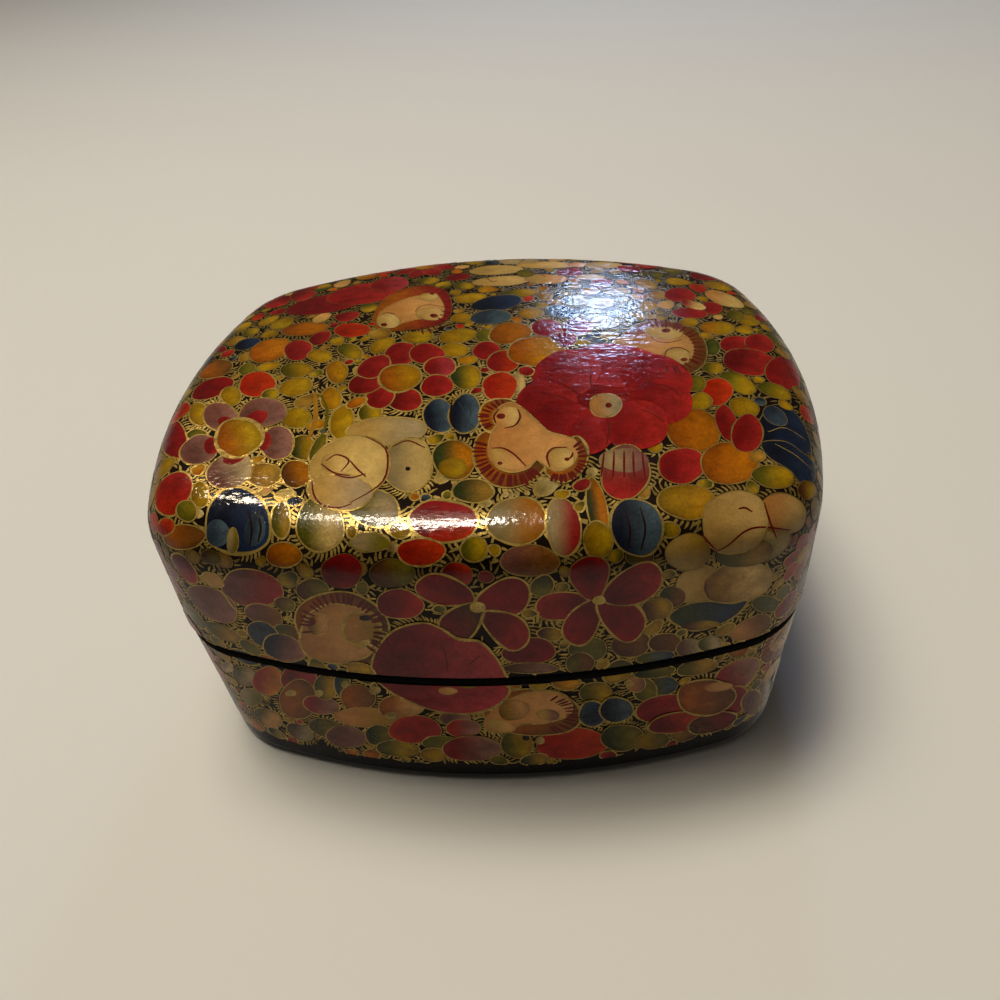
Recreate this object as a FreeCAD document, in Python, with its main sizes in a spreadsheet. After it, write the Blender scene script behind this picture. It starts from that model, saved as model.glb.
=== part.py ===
import FreeCAD, Part
import math
import os

import Sketcher

# Lacquered papier-mache trinket box: a domed lift-off lid over a short base with a collar glued inside.
# Millimetres. X runs along the length, Y from front to back, Z up from the face the box stands on.

SIZES = (
    ("box_length", 100.0, "length over the lid"),
    ("box_depth", 84.0, "depth over the lid"),
    ("box_height", 54.0, "height to the top of the crown"),
    ("end_radius", 98.0, "plan radius of the two bowed ends"),
    ("side_radius", 118.0, "plan radius of the two bowed long sides"),
    ("corner_radius", 15.5, "plan radius of the corners"),
    ("base_height", 26.8, "height of the base's rim, where the lid rests"),
    ("lid_overhang", 0.3, "how far the lid stands proud of the base all round"),
    ("crown_rise_long", 3.8, "rise of the lid's crown along the length"),
    ("crown_rise_cross", 2.8, "rise of the lid's crown across the depth"),
    ("shoulder_radius", 8.0, "round between the lid's wall and its crown"),
    ("base_draw", 1.6, "how far the base's walls lean in at the floor"),
    ("foot_radius", 2.2, "round between the base's wall and the face it stands on"),
    ("rim_round", 0.7, "round along the outer edge of both rims, which makes the dark seam groove"),
    ("lid_wall", 2.2, "thickness of the lid"),
    ("floor_round", 2.5, "round inside the base between wall and floor"),
    ("collar_clearance", 0.3, "sliding clearance between the collar and the lid's wall"),
    ("collar_rebate", 0.5, "how deep the collar is let into the base's wall"),
    ("collar_thickness", 1.4, "thickness of the collar"),
    ("collar_depth", 8.0, "how far the collar reaches down inside the base"),
    ("collar_stand", 5.0, "how far the collar stands above the base's rim"),
    ("collar_round", 0.5, "round along the collar's top edges"),
)

# The region cut away above the crown reaches past both ends and clear of the top.
PROFILE_REACH = 0.8
PROFILE_ABOVE = 10.0
CROWN_SWEEP = 60.0

doc = FreeCAD.newDocument("trinket_box")


def make_sheet():
    """The driving sizes, one row each: name, value with its alias, meaning."""
    sheet = doc.addObject("Spreadsheet::Sheet", "Sizes")
    for row, (alias, value, meaning) in enumerate(SIZES, start=1):
        sheet.set("A%d" % row, alias)
        sheet.set("B%d" % row, str(value))
        sheet.set("C%d" % row, meaning)
        sheet.setAlias("B%d" % row, alias)
    doc.recompute()
    return sheet


sheet = make_sheet()


def size(alias):
    """A driving size read back from the sheet."""
    return float(getattr(sheet, alias))


# Sizes that follow from the driving ones, as expressions on the sheet.
COLLAR_INSET = "(Sizes.lid_wall + Sizes.collar_clearance)"
CAVITY_INSET = "(%s + Sizes.collar_rebate)" % COLLAR_INSET
BASE_WALL = "(%s - Sizes.lid_overhang)" % CAVITY_INSET


def new_body(name):
    body = doc.addObject("PartDesign::Body", name)
    body.Label = name
    return body


def origin_plane(body, role):
    return next(f for f in body.Origin.OriginFeatures if f.Role == role)


def level_sketch(body, name, height):
    """An empty sketch lying level at the given height expression."""
    sketch = body.newObject("Sketcher::SketchObject", name)
    sketch.AttachmentSupport = [(origin_plane(body, "XY_Plane"), "")]
    sketch.MapMode = "FlatFace"
    if height:
        sketch.setExpression("AttachmentOffset.Base.z", height)
    return sketch


def outline_start():
    """First quarter of the eight-arc outline: centres and the angles where the arcs meet.

    The end arc is centred on the X axis, the side arc on the Y axis, and the corner arc
    touches both from inside, so its centre is where two circles of reduced radius cross.
    """
    end_x = size("box_length") / 2 - size("end_radius")
    side_y = size("box_depth") / 2 - size("side_radius")
    reach_end = size("end_radius") - size("corner_radius")
    reach_side = size("side_radius") - size("corner_radius")
    span = math.hypot(end_x, side_y)
    along = (reach_end ** 2 - reach_side ** 2 + span ** 2) / (2 * span)
    away = math.sqrt(reach_end ** 2 - along ** 2)
    unit_x, unit_y = -end_x / span, side_y / span
    corner_x = end_x + along * unit_x - away * unit_y
    corner_y = along * unit_y + away * unit_x
    end_angle = math.atan2(corner_y, corner_x - end_x)
    side_angle = math.atan2(corner_y - side_y, corner_x)
    return end_x, side_y, corner_x, corner_y, end_angle, side_angle


def add_outline(sketch, inset="0"):
    """The box's plan: eight tangent arcs, mirrored about both axes, moved inwards by inset on the same centres."""
    first = sketch.GeometryCount
    shift = float(sheet.evalExpression(inset.replace("Sizes.", "")))
    radii = [size("end_radius") - shift, size("side_radius") - shift, size("corner_radius") - shift]
    end_x, side_y, corner_x, corner_y, end_angle, side_angle = outline_start()
    half_turn = math.pi
    # Centre, radius, first and last angle of each arc, anticlockwise from the right-hand end.
    arcs = (
        (end_x, 0, radii[0], -end_angle, end_angle),
        (corner_x, corner_y, radii[2], end_angle, side_angle),
        (0, side_y, radii[1], side_angle, half_turn - side_angle),
        (-corner_x, corner_y, radii[2], half_turn - side_angle, half_turn - end_angle),
        (-end_x, 0, radii[0], half_turn - end_angle, half_turn + end_angle),
        (-corner_x, -corner_y, radii[2], half_turn + end_angle, half_turn + side_angle),
        (0, -side_y, radii[1], half_turn + side_angle, 2 * half_turn - side_angle),
        (corner_x, -corner_y, radii[2], 2 * half_turn - side_angle, 2 * half_turn - end_angle),
    )
    up = FreeCAD.Vector(0, 0, 1)
    for centre_x, centre_y, radius, begin, finish in arcs:
        circle = Part.Circle(FreeCAD.Vector(centre_x, centre_y, 0), up, radius)
        sketch.addGeometry(Part.ArcOfCircle(circle, begin, finish))
    count = len(arcs)
    for index in range(count):
        following = first + (index + 1) % count
        sketch.addConstraint(Sketcher.Constraint("Tangent", first + index, 2, following, 1))
    names = ("end_radius", "corner_radius", "side_radius", "corner_radius") * 2
    for index, name in enumerate(names):
        number = sketch.addConstraint(Sketcher.Constraint("Radius", first + index, arcs[index][2]))
        sketch.setExpression("Constraints[%d]" % number, "Sizes.%s - %s" % (name, inset))
    end_centre = "Sizes.box_length / 2 - Sizes.end_radius"
    side_centre = "Sizes.box_depth / 2 - Sizes.side_radius"
    places = (
        (0, "DistanceX", end_x, end_centre),
        (2, "DistanceY", side_y, side_centre),
        (4, "DistanceX", -end_x, "-(%s)" % end_centre),
        (6, "DistanceY", -side_y, "-(%s)" % side_centre),
    )
    for index, kind, value, expression in places:
        axis = -1 if kind == "DistanceX" else -2
        sketch.addConstraint(Sketcher.Constraint("PointOnObject", first + index, 3, axis))
        number = sketch.addConstraint(Sketcher.Constraint(kind, -1, 1, first + index, 3, value))
        sketch.setExpression("Constraints[%d]" % number, expression)


def add_pad(body, sketch, name, length):
    pad = body.newObject("PartDesign::Pad", name)
    pad.Profile = sketch
    pad.setExpression("Length", length)
    doc.recompute()
    return pad


def edges_at(shape, height, keep=None):
    """Names of the edges that lie level at a height and pass the optional test."""
    names = []
    for number, edge in enumerate(shape.Edges, start=1):
        box = edge.BoundBox
        level = abs(box.ZMin - height) < 1e-4 and abs(box.ZMax - height) < 1e-4
        if level and (keep is None or keep(edge)):
            names.append("Edge%d" % number)
    return names


def add_fillet(body, base, names, name, radius):
    fillet = body.newObject("PartDesign::Fillet", name)
    fillet.Base = (base, names)
    fillet.setExpression("Radius", radius)
    doc.recompute()
    return fillet


def outside_of(limit):
    """A test for edges whose middle lies further out than the outline inset by limit."""

    def test(edge):
        middle = edge.valueAt((edge.FirstParameter + edge.LastParameter) / 2)
        return outline_reach(abs(middle.x), abs(middle.y)) > -limit

    return test


def outline_reach(x, y):
    """Distance of a point in the first quarter outside the lid's outline, negative inside it."""
    end_x, side_y, corner_x, corner_y, end_angle, side_angle = outline_start()
    if math.atan2(y, x - end_x) <= end_angle:
        return math.hypot(x - end_x, y) - size("end_radius")
    if math.atan2(y - side_y, x) >= side_angle:
        return math.hypot(x, y - side_y) - size("side_radius")
    return math.hypot(x - corner_x, y - corner_y) - size("corner_radius")


def add_crown_profile(body, name, inset):
    """The region above the crown, to be turned about a level axis far below the box.

    Its lower side is an arc along the length, moved inwards by inset on the same centre.
    """
    profile = body.newObject("Sketcher::SketchObject", name)
    profile.AttachmentSupport = [(origin_plane(body, "XZ_Plane"), "")]
    profile.MapMode = "FlatFace"
    reach = PROFILE_REACH * size("box_length")
    long_radius = arc_radius(size("box_length") / 2, size("crown_rise_long"))
    cross_radius = arc_radius(size("box_depth") / 2, size("crown_rise_cross"))
    top = size("box_height")
    arc_r = long_radius - float(sheet.evalExpression(inset.replace("Sizes.", "")))
    low = top - long_radius + math.sqrt(arc_r ** 2 - reach ** 2)
    high = top + PROFILE_ABOVE
    half_angle = math.asin(reach / arc_r)
    circle = Part.Circle(FreeCAD.Vector(0, top - long_radius, 0), FreeCAD.Vector(0, 0, 1), arc_r)
    profile.addGeometry(Part.ArcOfCircle(circle, math.pi / 2 - half_angle, math.pi / 2 + half_angle))
    corners = ((-reach, low), (-reach, high), (reach, high), (reach, low))
    points = [FreeCAD.Vector(x, y, 0) for x, y in corners]
    for begin, finish in zip(points, points[1:]):
        profile.addGeometry(Part.LineSegment(begin, finish))
    axis = profile.addGeometry(
        Part.LineSegment(FreeCAD.Vector(-reach, top - cross_radius, 0), FreeCAD.Vector(reach, top - cross_radius, 0)),
        True,
    )
    shape_rules = (
        ("Coincident", 0, 2, 1, 1),
        ("Coincident", 1, 2, 2, 1),
        ("Coincident", 2, 2, 3, 1),
        ("Coincident", 3, 2, 0, 1),
        ("Vertical", 1),
        ("Horizontal", 2),
        ("Vertical", 3),
        ("PointOnObject", 0, 3, -2),
        ("Horizontal", axis),
    )
    for rule in shape_rules:
        profile.addConstraint(Sketcher.Constraint(*rule))
    driven = (
        (("Radius", 0, arc_r), "%s - %s" % (LONG_RADIUS, inset)),
        (("DistanceY", -1, 1, 0, 3, top - long_radius), "Sizes.box_height - %s" % LONG_RADIUS),
        (("DistanceX", 1, 1, -1, 1, reach), "%s * Sizes.box_length" % PROFILE_REACH),
        (("DistanceX", -1, 1, 3, 1, reach), "%s * Sizes.box_length" % PROFILE_REACH),
        (("DistanceY", -1, 1, 2, 1, high), "Sizes.box_height + %s" % PROFILE_ABOVE),
        (("DistanceX", axis, 1, -1, 1, reach), "%s * Sizes.box_length" % PROFILE_REACH),
        (("DistanceX", -1, 1, axis, 2, reach), "%s * Sizes.box_length" % PROFILE_REACH),
        (("DistanceY", -1, 1, axis, 1, top - cross_radius), "Sizes.box_height - %s" % CROSS_RADIUS),
    )
    for rule, expression in driven:
        number = profile.addConstraint(Sketcher.Constraint(*rule))
        profile.setExpression("Constraints[%d]" % number, expression)
    return profile


def add_crowned_block(body, prefix, inset, start):
    """A straight wall on the box's plan, crowned both ways, with a round shoulder: all moved inwards by inset."""
    plan = level_sketch(body, prefix + "Plan", start)
    add_outline(plan, inset)
    block = add_pad(body, plan, prefix + "Block", "Sizes.box_height - (%s)" % start)
    profile = add_crown_profile(body, prefix + "CrownProfile", inset)
    doc.recompute()
    crown = body.newObject("PartDesign::Groove", prefix + "Crown")
    crown.Profile = profile
    crown.ReferenceAxis = (profile, ["Axis0"])
    crown.Midplane = True
    crown.Angle = CROWN_SWEEP
    doc.recompute()
    require(crown.Shape.Volume < block.Shape.Volume - 1, "the crown cut nothing")
    top_face = max(crown.Shape.Faces, key=lambda f: f.CenterOfMass.z)
    numbered = enumerate(crown.Shape.Edges, start=1)
    names = ["Edge%d" % n for n, e in numbered if any(e.isSame(other) for other in top_face.Edges)]
    return add_fillet(body, crown, names, prefix + "Shoulder", "Sizes.shoulder_radius - %s" % inset)


def make_lid():
    """Lid: a crowned block, hollowed by the mould it is formed on, which leaves an even wall."""
    mould = new_body("lid_mould")
    add_crowned_block(mould, "Mould", "Sizes.lid_wall", "Sizes.base_height - Sizes.lid_wall")
    body = new_body("lid_shell")
    solid = add_crowned_block(body, "Lid", "0", "Sizes.base_height")
    hollow = body.newObject("PartDesign::Boolean", "LidHollow")
    hollow.Type = "Cut"
    hollow.setObjects([mould])
    doc.recompute()
    require(hollow.Shape.Volume < solid.Shape.Volume - 1, "the mould cut nothing")
    outer = edges_at(hollow.Shape, size("base_height"), outside_of(size("lid_wall") / 2))
    add_fillet(body, hollow, outer, "LidRimRound", "Sizes.rim_round")
    return body


def arc_radius(half_chord, rise):
    return (half_chord ** 2 + rise ** 2) / (2 * rise)


def arc_radius_expression(chord, rise):
    """Radius of an arc from its chord and rise, as an expression on the sheet."""
    return "((Sizes.%s / 2) ^ 2 + Sizes.%s ^ 2) / (2 * Sizes.%s)" % (chord, rise, rise)


LONG_RADIUS = arc_radius_expression("box_length", "crown_rise_long")
CROSS_RADIUS = arc_radius_expression("box_depth", "crown_rise_cross")


def require(truth, message):
    if not truth:
        raise RuntimeError(message)


def make_base():
    """Base: walls that lean in towards the floor, a round foot, an even wall and a rebate for the collar."""
    body = new_body("base_shell")
    plan = level_sketch(body, "BasePlan", None)
    add_outline(plan, "Sizes.lid_overhang")
    block = add_pad(body, plan, "BaseBlock", "Sizes.base_height")
    rim = size("base_height")
    faces = list(enumerate(block.Shape.Faces, start=1))
    walls = ["Face%d" % n for n, f in faces if f.BoundBox.ZLength > rim / 2]
    top = next("Face%d" % n for n, f in faces if f.BoundBox.ZMin > rim / 2)
    lean = body.newObject("PartDesign::Draft", "WallLean")
    lean.Base = (block, walls)
    lean.NeutralPlane = (block, [top])
    lean.setExpression("Angle", "atan(Sizes.base_draw / Sizes.base_height)")
    lean.Reversed = True
    doc.recompute()
    require(lean.Shape.Volume < block.Shape.Volume - 1, "the base's walls lean the wrong way")
    open_face = next("Face%d" % n for n, f in enumerate(lean.Shape.Faces, start=1) if f.BoundBox.ZMin > rim / 2)
    hollow = body.newObject("PartDesign::Thickness", "BaseHollow")
    hollow.Base = (lean, [open_face])
    hollow.setExpression("Value", BASE_WALL)
    hollow.Reversed = True
    doc.recompute()
    round_foot = add_fillet(body, hollow, edges_at(hollow.Shape, 0), "FootRound", "Sizes.foot_radius")
    floor = edges_at(round_foot.Shape, wall_thickness())
    floor_round = add_fillet(body, round_foot, floor, "FloorRound", "Sizes.floor_round")

    seat = level_sketch(body, "CollarSeat", "Sizes.base_height")
    add_outline(seat, COLLAR_INSET)
    rebate = body.newObject("PartDesign::Pocket", "CollarRebate")
    rebate.Profile = seat
    rebate.setExpression("Length", "Sizes.collar_depth")
    doc.recompute()
    require(rebate.Shape.Volume < floor_round.Shape.Volume - 1, "the collar's rebate cut nothing")
    outer = edges_at(rebate.Shape, rim, outside_of(size("lid_overhang") + size("lid_wall") / 2))
    add_fillet(body, rebate, outer, "BaseRimRound", "Sizes.rim_round")
    return body


def wall_thickness():
    """Thickness of the base's wall and floor: what the collar and its clearance leave under the lid's overhang."""
    collar_inset = size("lid_wall") + size("collar_clearance")
    return collar_inset + size("collar_rebate") - size("lid_overhang")


def make_collar():
    """Collar: an upright band glued into the base's rebate, which the lid slides over."""
    body = new_body("base_collar")
    plan = level_sketch(body, "CollarPlan", "Sizes.base_height - Sizes.collar_depth")
    add_outline(plan, COLLAR_INSET)
    add_outline(plan, "(%s + Sizes.collar_thickness)" % COLLAR_INSET)
    pad = add_pad(body, plan, "CollarBand", "Sizes.collar_depth + Sizes.collar_stand")
    top = edges_at(pad.Shape, size("base_height") + size("collar_stand"))
    add_fillet(body, pad, top, "CollarRound", "Sizes.collar_round")
    return body


def check_and_write(bodies):
    """Stop on any failed object or shape, then write one STEP file for each sub-part."""
    doc.recompute()
    for item in doc.Objects:
        require(not {"Invalid", "Error"} & set(item.State), "%s failed" % item.Name)
    for body in bodies:
        require(not body.Shape.isNull() and body.Shape.isValid(), "%s has a bad shape" % body.Label)
        require(len(body.Shape.Solids) == 1, "%s isn't one solid" % body.Label)
    os.makedirs("parts", exist_ok=True)
    for body in bodies:
        body.Shape.exportStep("parts/%s.step" % body.Label)
        box = body.Shape.BoundBox
        print("%s: %.0f mm3, %.2f x %.2f x %.2f mm" % (body.Label, body.Shape.Volume, box.XLength, box.YLength, box.ZLength))


check_and_write([make_lid(), make_base(), make_collar()])
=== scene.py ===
import math

import bpy
import numpy as np
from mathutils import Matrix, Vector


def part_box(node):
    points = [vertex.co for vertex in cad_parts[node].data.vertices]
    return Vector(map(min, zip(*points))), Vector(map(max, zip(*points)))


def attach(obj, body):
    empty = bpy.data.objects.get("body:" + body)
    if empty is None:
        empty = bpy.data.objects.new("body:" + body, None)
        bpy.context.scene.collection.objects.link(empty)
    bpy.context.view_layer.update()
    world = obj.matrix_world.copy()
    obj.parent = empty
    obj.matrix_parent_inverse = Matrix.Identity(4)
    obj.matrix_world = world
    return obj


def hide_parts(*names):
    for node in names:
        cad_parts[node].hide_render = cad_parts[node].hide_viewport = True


# Looks of a hand-painted, lacquered papier-mache trinket box with a lift-off lid.
# Metres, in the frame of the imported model: X along the length, Y from front to back, Z up from the table.

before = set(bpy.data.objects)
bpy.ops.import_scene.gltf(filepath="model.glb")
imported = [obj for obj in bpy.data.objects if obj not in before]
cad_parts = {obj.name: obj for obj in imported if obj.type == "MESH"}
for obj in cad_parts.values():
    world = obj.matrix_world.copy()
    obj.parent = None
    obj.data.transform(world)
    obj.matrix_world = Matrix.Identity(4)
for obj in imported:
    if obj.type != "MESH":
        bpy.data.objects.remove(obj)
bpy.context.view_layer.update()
MM = 0.001

# Sizes read from the frame.
LID_LOW, LID_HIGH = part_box("lid_shell")
COLLAR_LOW, COLLAR_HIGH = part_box("base_collar")
HALF_LENGTH = LID_HIGH.x
HALF_DEPTH = LID_HIGH.y
TOP = LID_HIGH.z
SEAM = LID_LOW.z

# Sizes that the frame doesn't give: the same real sizes that the part is modelled with.
END_RADIUS = 98.0 * MM
SIDE_RADIUS = 118.0 * MM
CORNER_RADIUS = 15.5 * MM
LID_OVERHANG = 0.3 * MM
CROWN_RISE_LONG = 3.8 * MM
CROWN_RISE_CROSS = 2.8 * MM
SHOULDER = 8.0 * MM
LID_WALL = 2.2 * MM
BASE_WALL = 2.7 * MM
BASE_DRAW = 1.6 * MM
FOOT = 2.2 * MM
RIM_ROUND = 0.7 * MM
FLOOR_ROUND = 2.5 * MM
COLLAR_INSET = 2.5 * MM
COLLAR_THICKNESS = 1.4 * MM
COLLAR_ROUND = 0.5 * MM

LONG_CROWN = (HALF_LENGTH ** 2 + CROWN_RISE_LONG ** 2) / (2 * CROWN_RISE_LONG)
CROSS_CROWN = (HALF_DEPTH ** 2 + CROWN_RISE_CROSS ** 2) / (2 * CROWN_RISE_CROSS)
SEAT_ROUNDS = 6
TINY = 1e-9

# Camera, fitted to the box's outline, seam and foot in the photograph.
PICTURE = 1000
FOCAL = 870.7
SENSOR = 36.0
AZIMUTH = math.radians(5.37)
ELEVATION = math.radians(39.396)
ROLL = math.radians(-5.094)
DISTANCE = 158.143 * MM
TARGET = np.array([0.495, 4.582, 20.0]) * MM


def row_dot(a, b):
    return (a * b).sum(-1, keepdims=True)


def unit(a):
    return a / np.maximum(np.linalg.norm(a, axis=-1, keepdims=True), TINY)


def joined(flat, height):
    """Points from their places in plan and their heights."""
    return np.concatenate([flat, np.broadcast_to(height, flat.shape[:-1])[..., None]], axis=-1)


def outline_arcs():
    """Centres of the end, side and corner arcs in the first quarter, and the two angles where they meet.

    The corner arc touches the other two from inside, so its centre is where two circles of
    reduced radius about their centres cross.
    """
    end = np.array([HALF_LENGTH - END_RADIUS, 0.0])
    side = np.array([0.0, HALF_DEPTH - SIDE_RADIUS])
    reach_end = END_RADIUS - CORNER_RADIUS
    reach_side = SIDE_RADIUS - CORNER_RADIUS
    span = np.linalg.norm(side - end)
    along = (reach_end ** 2 - reach_side ** 2 + span ** 2) / (2 * span)
    away = math.sqrt(reach_end ** 2 - along ** 2)
    line = (side - end) / span
    corner = end + along * line + away * np.array([-line[1], line[0]])
    end_angle = math.atan2(*(corner - end)[::-1])
    side_angle = math.atan2(*(corner - side)[::-1])
    return end, side, corner, end_angle, side_angle


END_CENTRE, SIDE_CENTRE, CORNER_CENTRE, END_ANGLE, SIDE_ANGLE = outline_arcs()


def plan_place(flat):
    """How far points in plan lie inside the lid's outline, and the outline's outward direction there.

    The point is folded into the first quarter. The arc that faces it is used: the distance is the
    arc's radius less the distance from its centre.
    """
    quarter = np.abs(flat)
    from_end = quarter - END_CENTRE
    from_side = quarter - SIDE_CENTRE
    at_end = np.arctan2(from_end[..., 1], from_end[..., 0]) <= END_ANGLE
    at_side = ~at_end & (np.arctan2(from_side[..., 1], from_side[..., 0]) >= SIDE_ANGLE)
    away = np.where(at_side[..., None], from_side, quarter - CORNER_CENTRE)
    away = np.where(at_end[..., None], from_end, away)
    radius = np.where(at_end, END_RADIUS, np.where(at_side, SIDE_RADIUS, CORNER_RADIUS))
    inset = radius - np.linalg.norm(away, axis=-1)
    return inset, unit(away) * np.where(flat < 0, -1.0, 1.0)


def crown(flat, depth=0.0):
    """Height and slopes of the crown, lowered by depth along the length's own radius.

    The arc along the length is turned about a level axis below the box: height = top - cross radius
    + sqrt(reach^2 - y^2), where reach = cross radius - long radius + sqrt((long radius - depth)^2 - x^2).
    """
    x, y = flat[..., 0], flat[..., 1]
    along = np.sqrt((LONG_CROWN - depth) ** 2 - x ** 2)
    reach = CROSS_CROWN - LONG_CROWN + along
    across = np.sqrt(reach ** 2 - y ** 2)
    slopes = np.stack([-reach * x / (along * across), -y / across], axis=-1)
    return TOP - CROSS_CROWN + across, slopes


def shoulder_seat(edge, outward, depth=0.0):
    """Where the shoulder's round lies, in the upright section square to the outline.

    A circle of the shoulder's radius less depth, centred that radius inside the wall, touches the
    crown from below. Gives its centre's height, its tilt at the crown and the crown's slopes there.
    """
    radius = SHOULDER - depth
    tilt = np.zeros(edge.shape[:-1])
    for _ in range(SEAT_ROUNDS):
        inset = SHOULDER - radius * np.sin(tilt)
        height, slopes = crown(edge - outward * inset[..., None], depth)
        tilt = np.arctan(-(slopes * outward).sum(-1))
    return height - radius * np.cos(tilt), tilt, slopes


def wall_inset(height):
    """How far the closed box's wall lies inside the lid's outline at a height: the base leans in downwards."""
    return np.where(height < SEAM, LID_OVERHANG + BASE_DRAW * (1 - height / SEAM), 0.0)


def settle(points):
    """The nearest place on the closed box's skin, and the skin's outward direction there.

    Under the shoulder's centre a point is set out to the wall, round the centre it is set on the
    round, and further in it is set on the crown straight below or above it.
    """
    flat, z = points[..., :2], points[..., 2]
    inset, outward = plan_place(flat)
    edge = flat + outward * inset[..., None]
    seat, tilt, slopes = shoulder_seat(edge, outward)
    angle = np.arctan2(z - seat, SHOULDER - inset)
    on_wall = (z <= seat)[..., None]
    on_round = (angle < math.pi / 2 - tilt)[..., None]

    lean = np.where(z < SEAM, BASE_DRAW / SEAM, 0.0)
    wall = joined(edge - outward * wall_inset(z)[..., None], z)
    wall_out = joined(outward, -lean)

    cos, sin = np.cos(angle)[..., None], np.sin(angle)[..., None]
    along_slope = slopes - outward * row_dot(slopes, outward)
    bend = joined(edge - outward * SHOULDER * (1 - cos), seat + SHOULDER * sin[..., 0])
    bend_out = joined(outward * cos - along_slope * sin, sin[..., 0])

    height, crown_slopes = crown(np.clip(flat, -HALF_LENGTH, HALF_LENGTH))
    top = joined(flat, height)
    top_out = joined(-crown_slopes, 1.0)

    place = np.where(on_wall, wall, np.where(on_round, bend, top))
    return place, unit(np.where(on_wall, wall_out, np.where(on_round, bend_out, top_out)))


def walk(start, heading, reach, steps):
    """Places passed when walking straight ahead over the skin for the given reach, in equal steps.

    After each step the point is set back on the skin and the heading is turned back into it.
    Gives the stops, their outward directions and the last heading.
    """
    stops, outs = [], []
    step = (reach / steps)[..., None]
    for _ in range(steps):
        start, out = settle(start + heading * step)
        heading = unit(heading - out * row_dot(heading, out))
        stops.append(start)
        outs.append(out)
    return np.stack(stops, axis=-2), np.stack(outs, axis=-2), heading


def camera_axes():
    """The camera's place and its right, up and backward directions."""
    back = np.array([
        math.sin(AZIMUTH) * math.cos(ELEVATION),
        -math.cos(AZIMUTH) * math.cos(ELEVATION),
        math.sin(ELEVATION),
    ])
    right = unit(np.cross([0, 0, 1], back))
    up = np.cross(back, right)
    rolled_right = right * math.cos(ROLL) + up * math.sin(ROLL)
    rolled_up = up * math.cos(ROLL) - right * math.sin(ROLL)
    return TARGET + DISTANCE * back, rolled_right, rolled_up, back


EYE, RIGHT, UP, BACK = camera_axes()


def seen_at(pixels):
    """Places on the skin that show at pixels of the picture, found by stepping along each line of sight.

    The first steps are as long as the distance to the skin, and the last ones are as long as the
    line of sight needs to meet a flat there.
    """
    pixels = np.asarray(pixels, float)
    across = (pixels[..., :1] - PICTURE / 2) / FOCAL
    down = (pixels[..., 1:] - PICTURE / 2) / FOCAL
    ray = unit(RIGHT * across - UP * down - BACK)
    start_height = TOP + 2 * MM
    point = EYE + ray * ((start_height - EYE[2]) / ray[..., 2:])
    for steep in (1.0,) * 14 + (0.3,) * 8:
        place, out = settle(point)
        facing = np.clip(-row_dot(ray, out), steep, 1.0)
        point = point + ray * row_dot(point - place, out) / facing * 0.95
    return settle(point)


def picture_axes(place, out):
    """Steps along the skin that show as one pixel to the right and one pixel up."""
    first = unit(RIGHT - out * row_dot(np.broadcast_to(RIGHT, out.shape), out))
    second = np.cross(out, first)
    offset = place - EYE
    depth = -(offset @ BACK)[..., None]
    columns = []
    for step in (first, second):
        nearer = -(step @ BACK)[..., None] / depth
        to_right = FOCAL * ((step @ RIGHT)[..., None] - (offset @ RIGHT)[..., None] * nearer) / depth
        to_up = FOCAL * ((step @ UP)[..., None] - (offset @ UP)[..., None] * nearer) / depth
        columns.append((to_right, to_up))
    (a, c), (b, d) = columns
    whole = a * d - b * c
    return (first * d - second * c) / whole, (second * a - first * b) / whole


def outline_points(spacing):
    """Points round the lid's outline with their outward directions, anticlockwise from the right-hand end."""
    arcs = (
        (END_CENTRE, END_RADIUS, 0.0, END_ANGLE),
        (CORNER_CENTRE, CORNER_RADIUS, END_ANGLE, SIDE_ANGLE),
        (SIDE_CENTRE, SIDE_RADIUS, SIDE_ANGLE, math.pi / 2),
    )
    places, outs = [], []
    for centre, radius, first, last in arcs:
        count = max(2, round(radius * (last - first) / spacing))
        angle = np.linspace(first, last, count, endpoint=False)
        out = np.stack([np.cos(angle), np.sin(angle)], axis=-1)
        places.append(centre + radius * out)
        outs.append(out)
    places.append(np.array([[0.0, HALF_DEPTH]]))
    outs.append(np.array([[0.0, 1.0]]))
    quarter = np.stack([np.concatenate(places), np.concatenate(outs)], axis=1)
    half = np.concatenate([quarter, quarter[-2::-1] * [-1, 1]])
    whole = np.concatenate([half, half[-2:0:-1] * [1, -1]])
    return whole[:, 0], whole[:, 1]


def linear(colour):
    """A colour written as hexadecimal text, in linear light."""
    levels = np.array([int(colour[i:i + 2], 16) for i in (1, 3, 5)]) / 255
    return np.where(levels <= 0.04045, levels / 12.92, ((levels + 0.055) / 1.055) ** 2.4)


def rgba(colour):
    return (*linear(colour), 1.0)


def add_mesh(name, points, faces, normals=None, colours=None, grain=None):
    """A mesh object from arrays: places, rows of vertex numbers, and optional directions, paints and grain places."""
    mesh = bpy.data.meshes.new(name)
    mesh.from_pydata(points.reshape(-1, 3), [], faces)
    if colours is not None:
        layer = mesh.color_attributes.new("paint", "FLOAT_COLOR", "POINT")
        solid = np.concatenate([colours.reshape(-1, 3), np.ones((colours.size // 3, 1))], axis=1)
        layer.data.foreach_set("color", solid.astype(np.float32).ravel())
    if grain is not None:
        corners = np.empty(len(mesh.loops), np.int32)
        mesh.loops.foreach_get("vertex_index", corners)
        layer = mesh.uv_layers.new(name="grain")
        layer.data.foreach_set("uv", grain.reshape(-1, 2)[corners].astype(np.float32).ravel())
    mesh.polygons.foreach_set("use_smooth", np.ones(len(mesh.polygons), bool))
    if normals is not None:
        mesh.normals_split_custom_set_from_vertices(normals.reshape(-1, 3))
    mesh.update()
    piece = bpy.data.objects.new(name, mesh)
    bpy.context.scene.collection.objects.link(piece)
    return piece


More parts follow.
